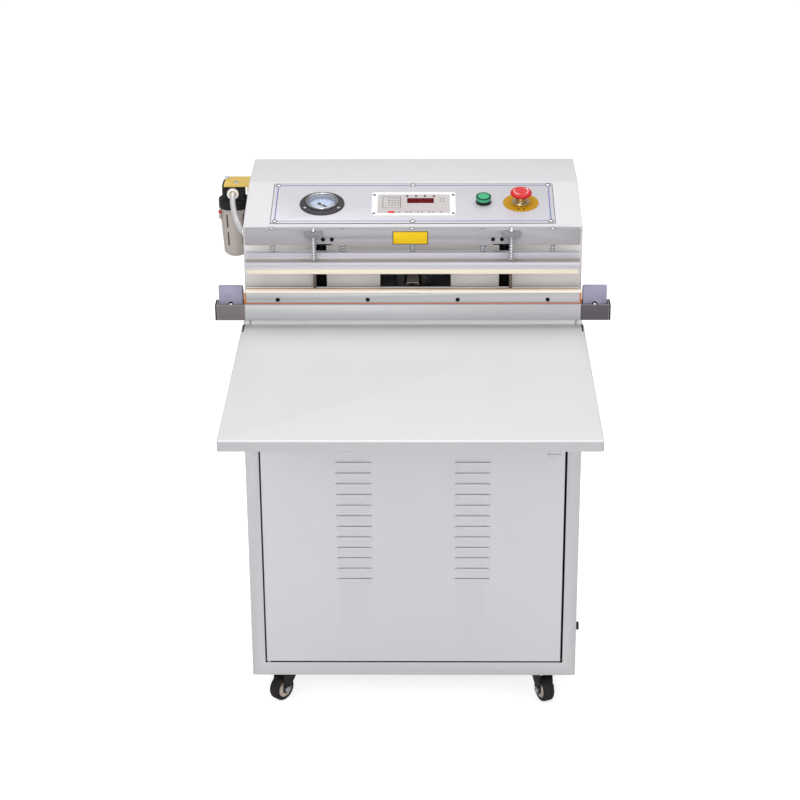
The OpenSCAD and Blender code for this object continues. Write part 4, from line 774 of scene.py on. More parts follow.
@dataclass
class Cabinet(SubAssembly):
    """The carcass, the louvred door, its pivots and latch, and the gland."""

    door_w: float = 565.0
    door_right: float = 281.2
    jamb: float = 285.2
    door_low: float = 104.5
    door_high: float = 604.5
    fold: float = 12.0
    bend: float = 2.0
    sheet: float = 1.2
    louvre_w: float = 67.0
    louvre_h: float = 11.0
    louvre_out: float = 2.4
    louvre_x: float = 110.5
    louvre_drop: float = 34.0
    louvre_pitch: float = 22.0
    louvre_rows: int = 14

    def build(self) -> None:
        """Makes the door's pressed face and dresses the carcass."""
        dress("cabinet_shell", PAINT, 0.7)
        dress("table_brackets", PAINT, 0.6)
        dress("door_pivots", ZINC)
        # The latch takes the door's lighter paint, which is painted light.
        dress("door_latch", DOOR_LIT_PAINT, 0.5)
        dress("cable_gland", BLACK_PLASTIC, 0.6)
        self.door()

    def lines(self, low: float, high: float, inner: Array) -> tuple[Array, Array]:
        """Grid lines across the door: the folded edge, its bend and the inner lines.

        Args:
            low: The door's lower or left edge.
            high: Its upper or right edge.
            inner: The lines between.

        Returns:
            Where the lines lie and how far each lies behind the face.
        """
        a = np.linspace(0, np.pi / 2, 5)
        back = self.bend * (1 - np.sin(a))
        out = self.bend * (1 - np.cos(a))
        place = np.concatenate([[low], low + out, inner, (high - out)[::-1], [high]])
        depth = np.concatenate([[self.fold], back, np.zeros(len(inner)), back[::-1], [self.fold]])
        return place, depth

    def height(self, x: Array, z: Array) -> Array:
        """How far the face stands out at x and z.

        In each louvre it is an arc of a circle down from the open edge, times a smooth rise from its tapered
        sides: h = (sqrt(r^2 - d^2) - (r - out)) * s(inside), with d the distance below the open edge.

        Args:
            x: Places across the door.
            z: Heights.

        Returns:
            The height field.
        """
        r = (self.louvre_h ** 2 + self.louvre_out ** 2) / (2 * self.louvre_out)
        top = self.door_high - self.louvre_drop
        row = np.clip(np.round((top - z - self.louvre_h / 2) / self.louvre_pitch), 0, self.louvre_rows - 1)
        d = top - row * self.louvre_pitch - z
        live = (d >= -0.01) & (d <= self.louvre_h)
        arch = np.sqrt(np.maximum(r * r - np.clip(d, 0, self.louvre_h) ** 2, 0)) - (r - self.louvre_out)
        half = self.louvre_w / 2 - 0.11 * self.louvre_w * np.clip(d / self.louvre_h, 0, 1) ** 2
        inside = np.clip((half - np.abs(np.abs(x) - self.louvre_x)) / 5.0, 0, 1)
        side = np.sqrt(np.maximum(1 - (1 - inside) ** 2, 0))
        return np.where(live, np.maximum(arch, 0) * side, 0.0)

    def door(self) -> None:
        """The door's face as one grid with a slit above each louvre, folded back round its edges."""
        share = (1 - np.cos(np.linspace(0, np.pi, 29))) / 2 - 0.5
        span = share * self.louvre_w
        across = np.concatenate([span - self.louvre_x, [0.0], span + self.louvre_x])
        x, dx = self.lines(-self.door_w / 2, self.door_right, across)
        tops = self.door_high - self.louvre_drop - self.louvre_pitch * np.arange(self.louvre_rows)[::-1]
        steps = np.concatenate([(np.linspace(0, 1, 8) ** 0.8 * self.louvre_h)[::-1] * -1, [0.25]])
        rows = (tops[:, None] + steps[None]).ravel()
        z, dz = self.lines(self.door_low, self.door_high, rows)
        grid_x, grid_z = np.meshgrid(x, z)
        back = np.maximum(*np.meshgrid(dx, dz))
        y = back - self.height(grid_x, grid_z)
        points = np.stack([grid_x, y, grid_z], -1).reshape(-1, 3)
        faces = quads(len(z), len(x))
        lower, upper = faces // len(x), faces % len(x)
        row, col = lower[:, 0], upper[:, 0]
        mid_x = (x[col] + x[np.minimum(col + 1, len(x) - 1)]) / 2
        in_louvre = np.abs(np.abs(mid_x) - self.louvre_x) < self.louvre_w / 2 - 1
        slit = np.isin(np.round(z[row], 3), np.round(tops, 3)) & in_louvre
        self.gap_shades()
        shape = Surface(points, faces[~slit].tolist())
        # The door's face takes the lighter door paint: painted light.
        piece = make_piece("door_face", shape, DOOR_LIT_PAINT, "door", mend=False)
        thicken(piece, self.sheet)
        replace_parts(piece, "door_panel")

    def gap_shades(self) -> None:
        """Painted shade in the gap round the door: dark sheets on the frame's side and on the door's."""
        low, high, jamb = self.door_low, self.door_high, self.jamb
        left, right = -self.door_w / 2, self.door_right
        shade_sheet = (brick((-jamb + 0.02, 0.7, low - 2), (-jamb + 0.17, 8, high))
                  + brick((-jamb, 0.7, low - 2.18), (jamb, 8, low - 2.03))
                  + brick((jamb - 0.17, 0.7, low - 2), (jamb - 0.02, 8, high)))
        make_piece("jamb_gap_shade", shade_sheet, SHADE, "root")
        sides = (brick((left - 0.16, 2.4, low + 2), (left - 0.01, 11.5, high - 2))
                 + brick((left + 3, 2.4, low - 0.16), (right - 3, 11.5, low - 0.01))
                 + brick((right + 0.01, 2.4, low + 2), (right + 0.16, 11.5, high - 2)))
        make_piece("door_gap_shade", sides, SHADE, "door")


@dataclass
class WorkTable(SubAssembly):
    """The folded table with its rear lip."""

    half: float = 314.0
    front: float = -436.0
    back: float = 88.0
    top: float = 766.5
    rim: float = 20.0
    bend: float = 2.6
    sheet: float = 1.5
    lip: float = 8.0
    hem: float = 3.0
    tab: float = 13.5
    slot_in: float = 2.4
    slot_w: float = 2.8
    slot_len: float = 38.0

    def build(self) -> None:
        """Makes the tray and its lip."""
        width, depth = 2 * self.half, self.back - self.front
        outline = round_rect(width, depth, self.bend + 0.4, 4) + [0, (self.back + self.front) / 2]
        a = np.linspace(0, np.pi / 2, 6)
        fold = self.top - self.bend - 0.6
        drop = np.concatenate([self.bend * (1 - np.sin(a)), [0.0]])
        level = np.concatenate([self.top - self.bend * (1 - np.cos(a)), [fold]])
        skirt = self.skirt(outline, drop, level)
        sheet = Surface(skirt.points, skirt.faces + [list(range(len(outline)))])
        # The rim takes the darker rim paint: painted shade on the table's front and sides.
        rim = self.skirt(outline, np.zeros(2), np.array([fold, self.top - self.rim]))
        thicken(make_piece("table_rim", rim, RIM_SHADED_PAINT, "root", mend=False), self.sheet)
        piece = make_piece("table_tray", sheet, TABLE_PAINT, "root", mend=False)
        thicken(piece, self.sheet)
        cut(piece, self.slots(self.top + 5))
        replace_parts(piece, "work_table")
        make_piece("slot_shade", joined(self.slots(self.top - 1.2)), SHADE, "root")
        self.rear_lip()

    def slots(self, high: float) -> list[Surface]:
        """The blocks that fill the two corner slots, up to a height.

        Args:
            high: The height of their tops.

        Returns:
            The left block and the right one.
        """
        middle, half = self.half - self.slot_in - self.slot_w / 2, self.slot_w / 2
        far = self.back - self.hem
        return [brick((s * middle - half, far - self.slot_len, self.top - 5), (s * middle + half, far, high))
                for s in (-1, 1)]

    def skirt(self, outline: Array, drop: Array, level: Array) -> Surface:
        """The outline's inset rings at their levels, facing outwards and open at the rear.

        Args:
            outline: The table's outline.
            drop: How far each ring lies inside the outline.
            level: The height of each ring.

        Returns:
            The open sheet.
        """
        n = len(outline)
        points = stacked(inset(outline, drop), level)
        faces = quads(len(level), n, wrap_cols=True)
        low = level[faces[:, 2] // n] < self.top - 0.5
        rear = (points[faces][:, :, 1] > self.back - self.bend - 0.5).all(1) & low
        return Surface(points, [face[::-1] for face in faces[~rear].tolist()])

    def rear_lip(self) -> None:
        """The lip: a long rounded flange with a short tab at each end, each a slab on its edge."""
        edge, tab = self.half - self.slot_in, self.half - self.tab
        parts = []
        rows = ((-edge, -tab, 4.5), (-tab + self.slot_w, tab - self.slot_w, 2.0), (tab, edge, 4.5))
        for low, high, round_by in rows:
            outline = filleted([(low, -self.sheet, 0), (high, -self.sheet, 0), (high, self.lip, round_by),
                                (low, self.lip, round_by)], 5)
            parts.append(slab(outline, 0.0, self.hem, 1.2, 4))
        seat = Seat((0.0, self.back, self.top), (1, 0, 0), (0, 0, 1), (0, -1, 0))
        # The lip takes the lighter lip paint: painted light.
        make_piece("table_lip", joined(parts), LIP_LIT_PAINT, "root", seat)


@dataclass
class Head(SubAssembly):
    """The folded cover, the panel behind the jaw and the control plate with its border."""

    half: float = 310.0
    front: float = 125.0
    back: float = 438.0
    low: float = 765.0
    bend_z: float = 942.0
    lip: float = 8.0
    slope_len: float = 166.5
    slope: float = 12.0
    sheet: float = 1.5
    plate_w: float = 521.0
    plate_h: float = 146.0
    plate_lift: float = 11.0
    plate_t: float = 1.0
    gauge_x: float = -168.5
    gauge_up: float = 80.0
    gauge_r: float = 30.2
    border_in: float = 7.3
    border_w: float = 2.4

    def seat(self, x: float, up: float, out: float = 0.0) -> Seat:
        """A seat on the sloped face, across, up along the slope and out of it.

        Args:
            x: The place across.
            up: The way up along the slope.
            out: The way out of the face.

        Returns:
            The seat, with its z out of the face.
        """
        c, s = np.cos(np.radians(self.slope)), np.sin(np.radians(self.slope))
        base = Seat((0.0, self.front, self.bend_z), (1, 0, 0), (0, c, s), (0, -s, c))
        return base.moved(x, up, out)

    def build(self) -> None:
        """Makes the cover and its plate, and dresses the panel."""
        # The panel takes the lighter panel paint: painted light.
        dress("head_front_panel", PANEL_LIT_PAINT, 0.3)
        # A dark sheet at the panel's foot: painted shadow between the sealing bar and the panel.
        make_piece("panel_foot_shade", brick((-306, 126.2, 812), (306, 126.6, 825.6), 0.1), SHADE, "root")
        self.cover()
        self.plate()

    def cover(self) -> None:
        """The cover: its side outline drawn out along X, open in front below the lip and underneath."""
        a = np.radians(self.slope)
        crease = (self.front + self.slope_len * np.cos(a), self.bend_z + self.slope_len * np.sin(a))
        lip_z = self.bend_z - self.lip
        corners = [(self.front, self.low, 0), (self.back, self.low, 0), (self.back, crease[1], 3.0),
                   (*crease, 14.0), (self.front, self.bend_z, 3.0), (self.front, lip_z, 0)]
        outline = filleted(corners, 6)
        shape = slab(outline, -self.half, self.half, 1.6, 4)
        y, z = shape.points[:, 0], shape.points[:, 1]
        kept = [face for face in shape.faces if (z[face] >= self.low + 2).any()
                and ((y[face] >= self.front + 2).any() or (z[face] >= lip_z + 0.5).any())]
        seat = Seat((0, 0, 0), (0, 1, 0), (0, 0, 1), (1, 0, 0))
        piece = make_piece("head_skin", Surface(shape.points, kept), HEAD_PAINT, "root", seat, mend=False)
        thicken(piece, self.sheet)
        cut(piece, [self.hole()])
        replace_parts(piece, "head_cover")

    def hole(self) -> Surface:
        """The hole for the gauge as a closed cylinder through plate and cover, in machine millimetres."""
        seat = self.seat(self.gauge_x, self.gauge_up)
        return lathe([(0, -8), (self.gauge_r, -8), (self.gauge_r, 6), (0, 6)], 72).seated(seat)

    def plate(self) -> None:
        """The control plate as a thin slab, and the border line as a low frame on it."""
        middle = self.seat(0, self.plate_lift + self.plate_h / 2)
        plate = slab(round_rect(self.plate_w, self.plate_h, 1.5, 3), 0.0, self.plate_t, 0.3, 2)
        piece = make_piece("plate_face", plate, PLATE, "root", middle)
        cut(piece, [self.hole()])
        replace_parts(piece, "control_plate")
        # A dark slab 1 mm wider than the plate, under it: the plate's edge, partly real and partly painted
        # shadow round it.
        edge = slab(round_rect(self.plate_w + 2.0, self.plate_h + 2.0, 2.5, 3), 0.0, self.plate_t - 0.15,
                    0.1, 1)
        cut(make_piece("plate_edge_and_shadow", edge, PLATE_EDGE_AND_SHADOW, "root", middle), [self.hole()])
        low, high = 2 * self.border_in - self.border_w, 2 * self.border_in + self.border_w
        outer = round_rect(self.plate_w - low, self.plate_h - low, 3.0, 4)
        inner = round_rect(self.plate_w - high, self.plate_h - high, 2.0, 4)
        make_piece("plate_border", flat_ring(outer, inner, self.plate_t + 0.06), BORDER, "root", middle)


@dataclass
class Gauge(SubAssembly):
    """The vacuum gauge: flange, case, bezel, dial with its marks, needle and lens."""

    head: Head
    flange_r: float = 41.5
    flange_t: float = 3.0
    bezel_r: float = 30.0
    bezel_h: float = 9.0
    mouth_r: float = 25.1
    dial_r: float = 28.4
    dial_out: float = -2.0

    def build(self) -> None:
        """Makes the gauge in the frame of its centre on the plate."""
        seat = self.head.seat(self.head.gauge_x, self.head.gauge_up, self.head.plate_t)
        wall = (self.bezel_r - self.mouth_r) / 2
        case = lathe([(self.dial_r, -2.0), (self.mouth_r, -1.0)]
                     + arc((self.mouth_r + wall, self.bezel_h - wall), wall, 180, 0, 10)
                     + [(self.bezel_r, self.flange_t)], 96)
        make_piece("gauge_bezel", case, DARK_CHROME, "root", seat)
        rim, top = self.flange_r, self.flange_t
        flange = lathe([(0, -25), (31, -25), (31, 0), (rim, 0), (rim, 1.6)]
                       + arc((rim - 1.4, top - 1.4), 1.4, 0, 90, 4)
                       + [(self.bezel_r + 1.0, top), (self.bezel_r - 0.5, top + 0.6)], 96)
        piece = make_piece("gauge_flange", flange, CASE_BLACK, "root", seat)
        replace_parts(piece, "gauge_case")
        screws("gauge_screws", [seat.turned(a).moved((self.flange_r + self.bezel_r) / 2, 0, self.flange_t)
                                for a in (90, 210, 330)], 3.2, 1.6, ZINC, "root")
        dress("gauge_lens", CLEAR)
        self.dial(seat)

    def dial(self, seat: Seat) -> None:
        """The dial's disk with ticks along 270 degrees, long ones at each tenth, and plain numbers.

        Args:
            seat: The gauge's centre on the plate.
        """
        out, under = self.dial_out, self.dial_out - 1.0
        disk = lathe([(0, under), (self.dial_r, under), (self.dial_r, out), (0, out)], 96)
        piece = make_piece("dial_face", disk, DIAL, "root", seat)
        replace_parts(piece, "gauge_dial")
        ticks = []
        for i in range(51):
            length, width = (2.4, 0.28) if i % 5 else (4.2, 0.5)
            tick = slab(round_rect(length, width, 0.05, 1), 0.0, 0.08, 0.02, 1)
            ticks.append(tick.seated(seat.turned(225 - 270 * i / 50).moved(23.6 - length / 2, 0, out)))
        make_piece("dial_ticks", joined(ticks), MARK_DARK, "root")
        for i in range(6):
            number(f"dial_number_{i}", str(i * 2), seat.turned(225 - 54 * i).moved(16.4, 0, out), seat, 4.6)
        needle = seat.moved(0, 0, out + 0.6).turned(-40)
        blade = slab(np.array([(-10, -3.6), (-3, -2.6), (20, -0.7), (20, 0.7), (-3, 2.6), (-10, 3.6)]),
                     0.0, 0.6, 0.1, 1)
        pin = lathe([(0, -1.2), (1, -1.2), (1, 0.2), (0, 0.2)], 24)
        piece = make_piece("needle_blade", blade + pin, BLACK_PLASTIC, "needle", needle)
        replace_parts(piece, "gauge_needle")
        hub = lathe([(0, 0), (2.2, 0), (2.2, 0.8)] + arc((1.8, 0.8), 0.4, 0, 90, 3) + [(0, 1.2)], 32)
        make_piece("needle_hub", hub, BRASS, "needle", needle)


def number(name: str, text: str, spot: Seat, upright: Seat, size: float) -> None:
    """A plain number as a thin mesh, upright on its seat.

    Args:
        name: The piece's name.
        text: The digits.
        spot: The seat whose origin is the number's middle.
        upright: The seat whose directions it stands in.
        size: The digits' size in millimetres.
    """
    curve = bpy.data.curves.new(name, "FONT")
    curve.body, curve.size, curve.extrude = text, size, 0.03
    curve.align_x, curve.align_y = "CENTER", "CENTER"
    shape = bpy.data.objects.new(name, curve)
    bpy.context.scene.collection.objects.link(shape)
    mesh = bpy.data.meshes.new_from_object(shape.evaluated_get(bpy.context.evaluated_depsgraph_get()))
    bpy.data.objects.remove(shape)
    points = np.zeros(len(mesh.vertices) * 3)
    mesh.vertices.foreach_get("co", points)
    faces = [list(p.vertices) for p in mesh.polygons]
    bpy.data.meshes.remove(mesh)
    shape = Surface(points.reshape(-1, 3) + [0, 0, 0.03], faces)
    make_piece(name, shape, MARK_DARK, "root", replace(upright, origin=spot.origin), mend=False)


@dataclass
class Controller(SubAssembly):
    """The sealing controller: raised frame, sunk keypad with its keys, display and dots."""

    head: Head
    x: float = 1.5
    up: float = 78.5
    width: float = 156.0
    height: float = 84.5
    bar: float = 11.5
    rail: float = 7.25
    thick: float = 2.5
    sunk: float = 1.5
    key_pitch: float = 21.3
    key_first: float = -40.0
    key_up: float = -29.5
    display_x: float = 14.0
    display_up: float = 14.3
    key_low: float = -1.8
    display_w: float = 49.5
    display_h: float = 18.0

    def build(self) -> None:
        """Makes the controller in the frame of its centre on the plate."""
        seat = self.head.seat(self.x, self.up, self.head.plate_t)
        outer = round_rect(self.width, self.height, 5.0, 6)
        inner = round_rect(self.width - 2 * self.bar, self.height - 2 * self.rail, 1.5, 6)
        a = np.linspace(0, np.pi / 2, 5)
        low = np.concatenate([inset(outer, [0.0]), inset(outer, 1.0 * (1 - np.cos(a)))])
        high = inset(inner, -0.6 * (1 - np.cos(a)))[::-1]
        rings = np.concatenate([low, high, inset(inner, [0.0])])
        top = self.thick
        level = np.concatenate([[0.0], top - 1.0 * (1 - np.sin(a)), (top - 0.6 * (1 - np.sin(a)))[::-1],
                                [top - self.sunk - 1]])
        shape = Surface(stacked(rings, level), quads(len(level), len(outer), wrap_cols=True).tolist())
        piece = make_piece("controller_bezel", shape, WHITE_PLASTIC, "root", seat)
        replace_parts(piece, "controller_frame")
        corner_x = (self.width - self.bar) / 2 + 1.0
        corners = [seat.moved(s * corner_x, y, top) for s in (-1, 1) for y in (30.8, -37.2)]
        screws("controller_screws", corners, 2.9, 1.2, ZINC_DARK, "root")
        self.face(seat.moved(0, self.key_low, top - self.sunk))

    def face(self, seat: Seat) -> None:
        """The keypad with its display, keys, dots and the bordered window.

        Args:
            seat: The centre of the keypad's face.
        """
        width, height = self.width - 2 * self.bar, self.height - 2 * self.rail
        thin_sheet = slab(round_rect(width - 0.2, height - 0.2, 1.3, 4), -2.0, 0.0, 0.2, 1)
        piece = make_piece("keypad_face", thin_sheet, KEYPAD, "root", seat)
        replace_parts(piece, "controller_keypad")
        screen = seat.moved(self.display_x - self.x, self.display_up)
        glass = slab(round_rect(self.display_w, self.display_h, 1.0, 3), 0.0, 0.35, 0.15, 2)
        piece = make_piece("display_glass", glass, DISPLAY, "root", screen)
        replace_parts(piece, "controller_display")
        tall = slab(round_rect(1.1, 5.0, 0.4, 2), 0.0, 0.08, 0.03, 1)
        flat = slab(round_rect(5.0, 1.1, 0.4, 2), 0.0, 0.08, 0.03, 1)
        bars = ((-3, 3, tall), (3, 3, tall), (-3, -3, tall), (3, -3, tall), (0, 6, flat), (0, -6, flat))
        digits = [bar.seated(screen.moved(-15 + 15 * i + x, y, 0.36))
                  for i in range(3) for x, y, bar in bars]
        make_piece("display_digits", joined(digits), DIGITS, "root")
        dome = lathe([(0, 0), (2.5, 0), (2.4, 0.5), (1.6, 0.95), (0, 1.15)], 20)
        spots = [screen.moved((i / 3 - 0.5) * self.display_w, self.display_h / 2 + 7.7) for i in range(4)]
        make_piece("status_dots", joined(dome.seated(spot) for spot in spots), DOT_RED, "root")
        self.keys(seat)

    def keys(self, seat: Seat) -> None:
        """The red key, the four grey ones in their outlines, and the window and dashes beside them.

        Args:
            seat: The centre of the keypad's face.
        """
        window = seat.moved(-40.8, 8.4)
        dash = slab(round_rect(3.0, 2.4, 0.3, 2), 0.0, 0.12, 0.02, 1)
        lines = [self.ring(33.7, 42.7, 1.0, 1.0).seated(window)]
        lines += [dash.seated(window.moved(-5.0 + 5.8 * (i % 4), 15.0 - 8.4 * (i // 4))) for i in range(16)]
        lines += [dash.seated(seat.moved(50.0 + 6.0 * (i % 2), 21.0 - 9.0 * (i // 2))) for i in range(4)]
        cap = slab(round_rect(12.4, 8.6, 2.4, 4), 0.0, 0.9, 0.5, 3)
        across = [self.key_first + i * self.key_pitch - self.x for i in range(5)]
        first, *rest = [seat.moved(x, self.key_up) for x in across]
        # The red key takes the glowing red: painted light.
        make_piece("key_red", cap, KEY_RED_GLOWING, "root", first)
        lines += [self.ring(15.6, 11.6, 3.4, 1.4).seated(spot) for spot in rest]
        make_piece("keys_grey", joined(cap.seated(spot) for spot in rest), KEY_GREY, "root")
        make_piece("keypad_lines", joined(lines), KEY_LINE, "root")

    @staticmethod
    def ring(width: float, height: float, radius: float, line: float) -> Surface:
        """A flat line of a given width round a rectangle with rounded corners."""
        inner = round_rect(width - 2 * line, height - 2 * line, radius / 2, 4)
        return flat_ring(round_rect(width, height, radius, 4), inner, 0.07)


@dataclass
class Signals(SubAssembly):
    """The pilot lamp and the emergency stop."""

    head: Head
    lamp_x: float = 131.0
    lamp_up: float = 86.5
    lamp_r: float = 14.25
    base_h: float = 6.4
    lamp_h: float = 13.6
    stop_x: float = 200.0
    stop_up: float = 84.0
    disk_r: float = 33.0
    disk_t: float = 1.2
    collar_r: float = 16.0
    collar_h: float = 9.5
    head_r: float = 20.0
    travel: float = 5.3

    def build(self) -> None:
        """Makes both on their seats."""
        self.lamp(self.head.seat(self.lamp_x, self.lamp_up, self.head.plate_t))
        self.stop(self.head.seat(self.stop_x, self.stop_up, self.head.plate_t))

    def lamp(self, seat: Seat) -> None:
        """A low black collar with a green rim and a green cap of eight facets.

        Args:
            seat: The lamp's centre on the plate.
        """
        r, low, high = self.lamp_r, self.base_h, self.lamp_h
        collar = lathe([(0, -30), (11, -30), (11, 0), (r, 0), (r, low - 1.2)]
                       + arc((r - 1.2, low - 1.2), 1.2, 0, 90, 4) + [(0, low)], 72)
        make_piece("lamp_collar", collar, BLACK_PLASTIC, "root", seat)
        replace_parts(bpy.data.objects["lamp_collar"], "lamp_base")
        band = lathe([(0, low), (r - 0.3, low), (r - 0.1, low + 0.5), (r - 0.1, high - 1.6),
                      (0, high - 1.6)], 72)
        make_piece("lamp_band", band, GREEN, "root", seat)
        rim = lathe([(0, high - 1.6), (r, high - 1.6), (r, high - 0.9), (r - 1.0, high - 0.1),
                     (r - 3.2, high - 0.4), (0, high - 0.4)], 72)
        make_piece("lamp_rim", rim, GREEN_DARK, "root", seat)
        cap = lathe([(0, high - 1.0), (r - 3.0, high - 1.0), (r - 3.0, high - 0.3), (r - 4.6, high),
                     (0, high)], 8)
        piece = make_piece("lamp_cap", cap, GREEN, "root", seat.turned(22.5), smooth=20.0)
        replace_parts(piece, "lamp_lens")

    def stop(self, seat: Seat) -> None:
        """Legend disk, collar, stem and mushroom head with two arrows.

        Args:
            seat: The stop's centre on the plate.
        """
        flat, wide, r, h = self.disk_t, self.disk_r, self.collar_r, self.collar_h
        disk = lathe([(11.2, 0), (wide, 0), (wide, flat - 0.5), (wide - 0.5, flat), (11.2, flat)], 96)
        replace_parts(make_piece("legend_disk", disk, AMBER, "root", seat), "stop_disk")
        pit = lathe([(0, flat + 0.03), (2.1, flat + 0.03), (2.1, flat - 0.3)], 20)
        pits = joined(pit.seated(seat.moved(x, -25.0)) for x in (-5.0, 5.0))
        make_piece("legend_holes", pits, MARK_DARK, "root")
        base = seat.moved(0, 0, flat)
        collar = lathe([(9.2, -40), (14, -40), (14, -3.7), (11, -3.7), (11, 0), (r - 0.2, 0), (r, 0.4),
                        (r, 2.4), (r - 1.0, 3.4), (r - 3.6, 3.6), (r - 4.6, 3.0), (10.8, 3.0),
                        (10.8, h - 0.4), (10.4, h), (9.2, h)], 72)
        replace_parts(make_piece("stop_bezel", collar, NECK, "root", base), "stop_collar")
        rise = h + self.travel
        stem = lathe([(0, -12), (9, -12), (9, rise - 0.1), (4, rise), (4, rise + 4.9), (0, rise + 4.9)], 48)
        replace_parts(make_piece("stop_shaft", stem, NECK, "stop_push", base), "stop_stem")
        top = base.moved(0, 0, rise)
        r = self.head_r
        cap = lathe([(4.1, 2.2), (11, 2.2), (r - 4.0, 1.6)] + arc((r - 3.4, 5.0), 3.4, -90, 60, 8)
                    + [(r - 3.2, 8.6), (r - 4.0, 8.9), (0, 8.9), (0, 5.2), (4.1, 5.2)], 96)
        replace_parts(make_piece("stop_mushroom", cap, RED, "stop_turn", top), "stop_head")
        flat_top = lathe([(0, 8.8), (r - 3.9, 8.8), (r - 3.9, 9.0), (r * 0.55, 9.7), (r * 0.3, 9.9),
                          (0, 10.0)], 72)
        # The top takes the lighter red: painted light.
        make_piece("stop_top", flat_top, RED_LIT, "stop_turn", top)
        arrows = joined(self.arrow(12.6, 110.0, top.turned(turn).moved(0, 0, 9.1)) for turn in (-50, 150))
        make_piece("stop_arrows", arrows, MARK_WHITE, "stop_turn")

    @staticmethod
    def arrow(radius: float, sweep: float, seat: Seat) -> Surface:
        """A curved arrow: a ring sector whose width grows to a head and falls to a point.

        Args:
            radius: Radius of its middle line.
            sweep: The angle that it covers, in degrees.
            seat: The centre of its circle.

        Returns:
            The arrow in machine millimetres.
        """
        t = np.array([0.0, 0.2, 0.4, 0.6, 0.7, 0.7001, 0.8, 0.9, 1.0])
        wide = np.array([1.0, 1.0, 1.0, 1.0, 1.0, 2.3, 1.6, 0.8, 0.02])
        a = np.radians(t * sweep)
        sides = [radius - wide, radius + wide]
        rings = [np.stack([r * np.cos(a), r * np.sin(a), np.full_like(a, 0.4)], 1) for r in sides]
        return Surface(np.vstack(rings), quads(2, len(t)).tolist()).seated(seat)


@dataclass
class LowerJaw(SubAssembly):
    """Support tube, sealing bar with its strips, terminal covers and guide rods."""

    head: Head
    screw_x: float = 82.0
    bar_y: float = 68.0
    screw_z: float = 821.0
    cover_x: float = 331.5
    cover_front: float = 66.0
    cover_low: float = 2.6
    tube_top: float = 813.0

    def build(self) -> None:
        """Dresses the jaw's pieces and sets its screws."""
        dress("support_tube", ALUMINIUM, 1.2)
        dress("tube_caps", BEAM_BLACK, 0.3)
        dress("sealing_bar", ALUMINIUM, 0.5)
        dress("lower_strip", SILICONE, 0.5)
        dress("heater_strips", HEATER, 0.25)
        covers = dress("terminal_covers", COVER, 0.9).data
        spots = np.zeros(len(covers.vertices) * 3)
        covers.vertices.foreach_get("co", spots)
        spots = spots.reshape(-1, 3)
        spots[:, 2] -= np.where(spots[:, 2] > spots[:, 2].mean(), self.cover_low * MM, 0.0)
        covers.vertices.foreach_set("co", spots.ravel())
        dress("guide_rods", ROD_GREY, 0.5)
        # Dark shells round the tube's ends: painted shade where the ends reflect a darker surround; there
        # are no real sleeves.
        left = brick((-357.9, 61.9, 782.9), (-305, 92.1, 813.02), 1.3)
        right = brick((305, 61.9, 782.9), (357.9, 92.1, 813.02), 1.3)
        make_piece("tube_end_shade_left", left, TUBE_END_SHADE, "root")
        make_piece("tube_end_shade_right", right, TUBE_END_SHADE_DARK, "root")
        make_piece("bar_tape", brick((-303.4, 85.3, 837.1), (303.4, 91.9, 837.35), 0.1), WHITE_TAPE, "root")
        self.fasteners()

    def fasteners(self) -> None:
        """The screws of the bar, the covers and the control plate, with painted shade rings round the
        plate's.
        """
        face = [Seat((x * self.screw_x, self.bar_y, self.screw_z), (1, 0, 0), (0, 0, 1), (0, -1, 0))
                for x in (-3, -1, 1, 3)]
        screws("bar_screws", face, 3.8, 1.8, BLACK_OXIDE, "root")
        ends = [Seat((s * self.cover_x, self.cover_front, self.tube_top)) for s in (-1, 1)]
        screws("cover_screws", ends, 2.5, 2.0, WHITE_PLASTIC, "root")
        head = self.head
        edge, low, high = head.plate_w / 2 - 7.5, head.plate_lift + 6.5, head.plate_lift + head.plate_h - 6.5
        plate = [head.seat(x, up, head.plate_t) for x in (-edge, 0, edge) for up in (low, high)]
        screws("plate_screws", plate, 4.7, 2.6, CHROME, "root")
        # Dark rings round the plate's screw heads: painted shade.
        ring = lathe([(4.5, 0.02), (5.6, 0.05), (5.6, 0.0)], 32)
        make_piece("plate_screw_shade_rings", joined(ring.seated(seat) for seat in plate), PLATE_EDGE_AND_SHADOW, "root")
        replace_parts(bpy.data.objects["plate_screws"], "machine_screws")


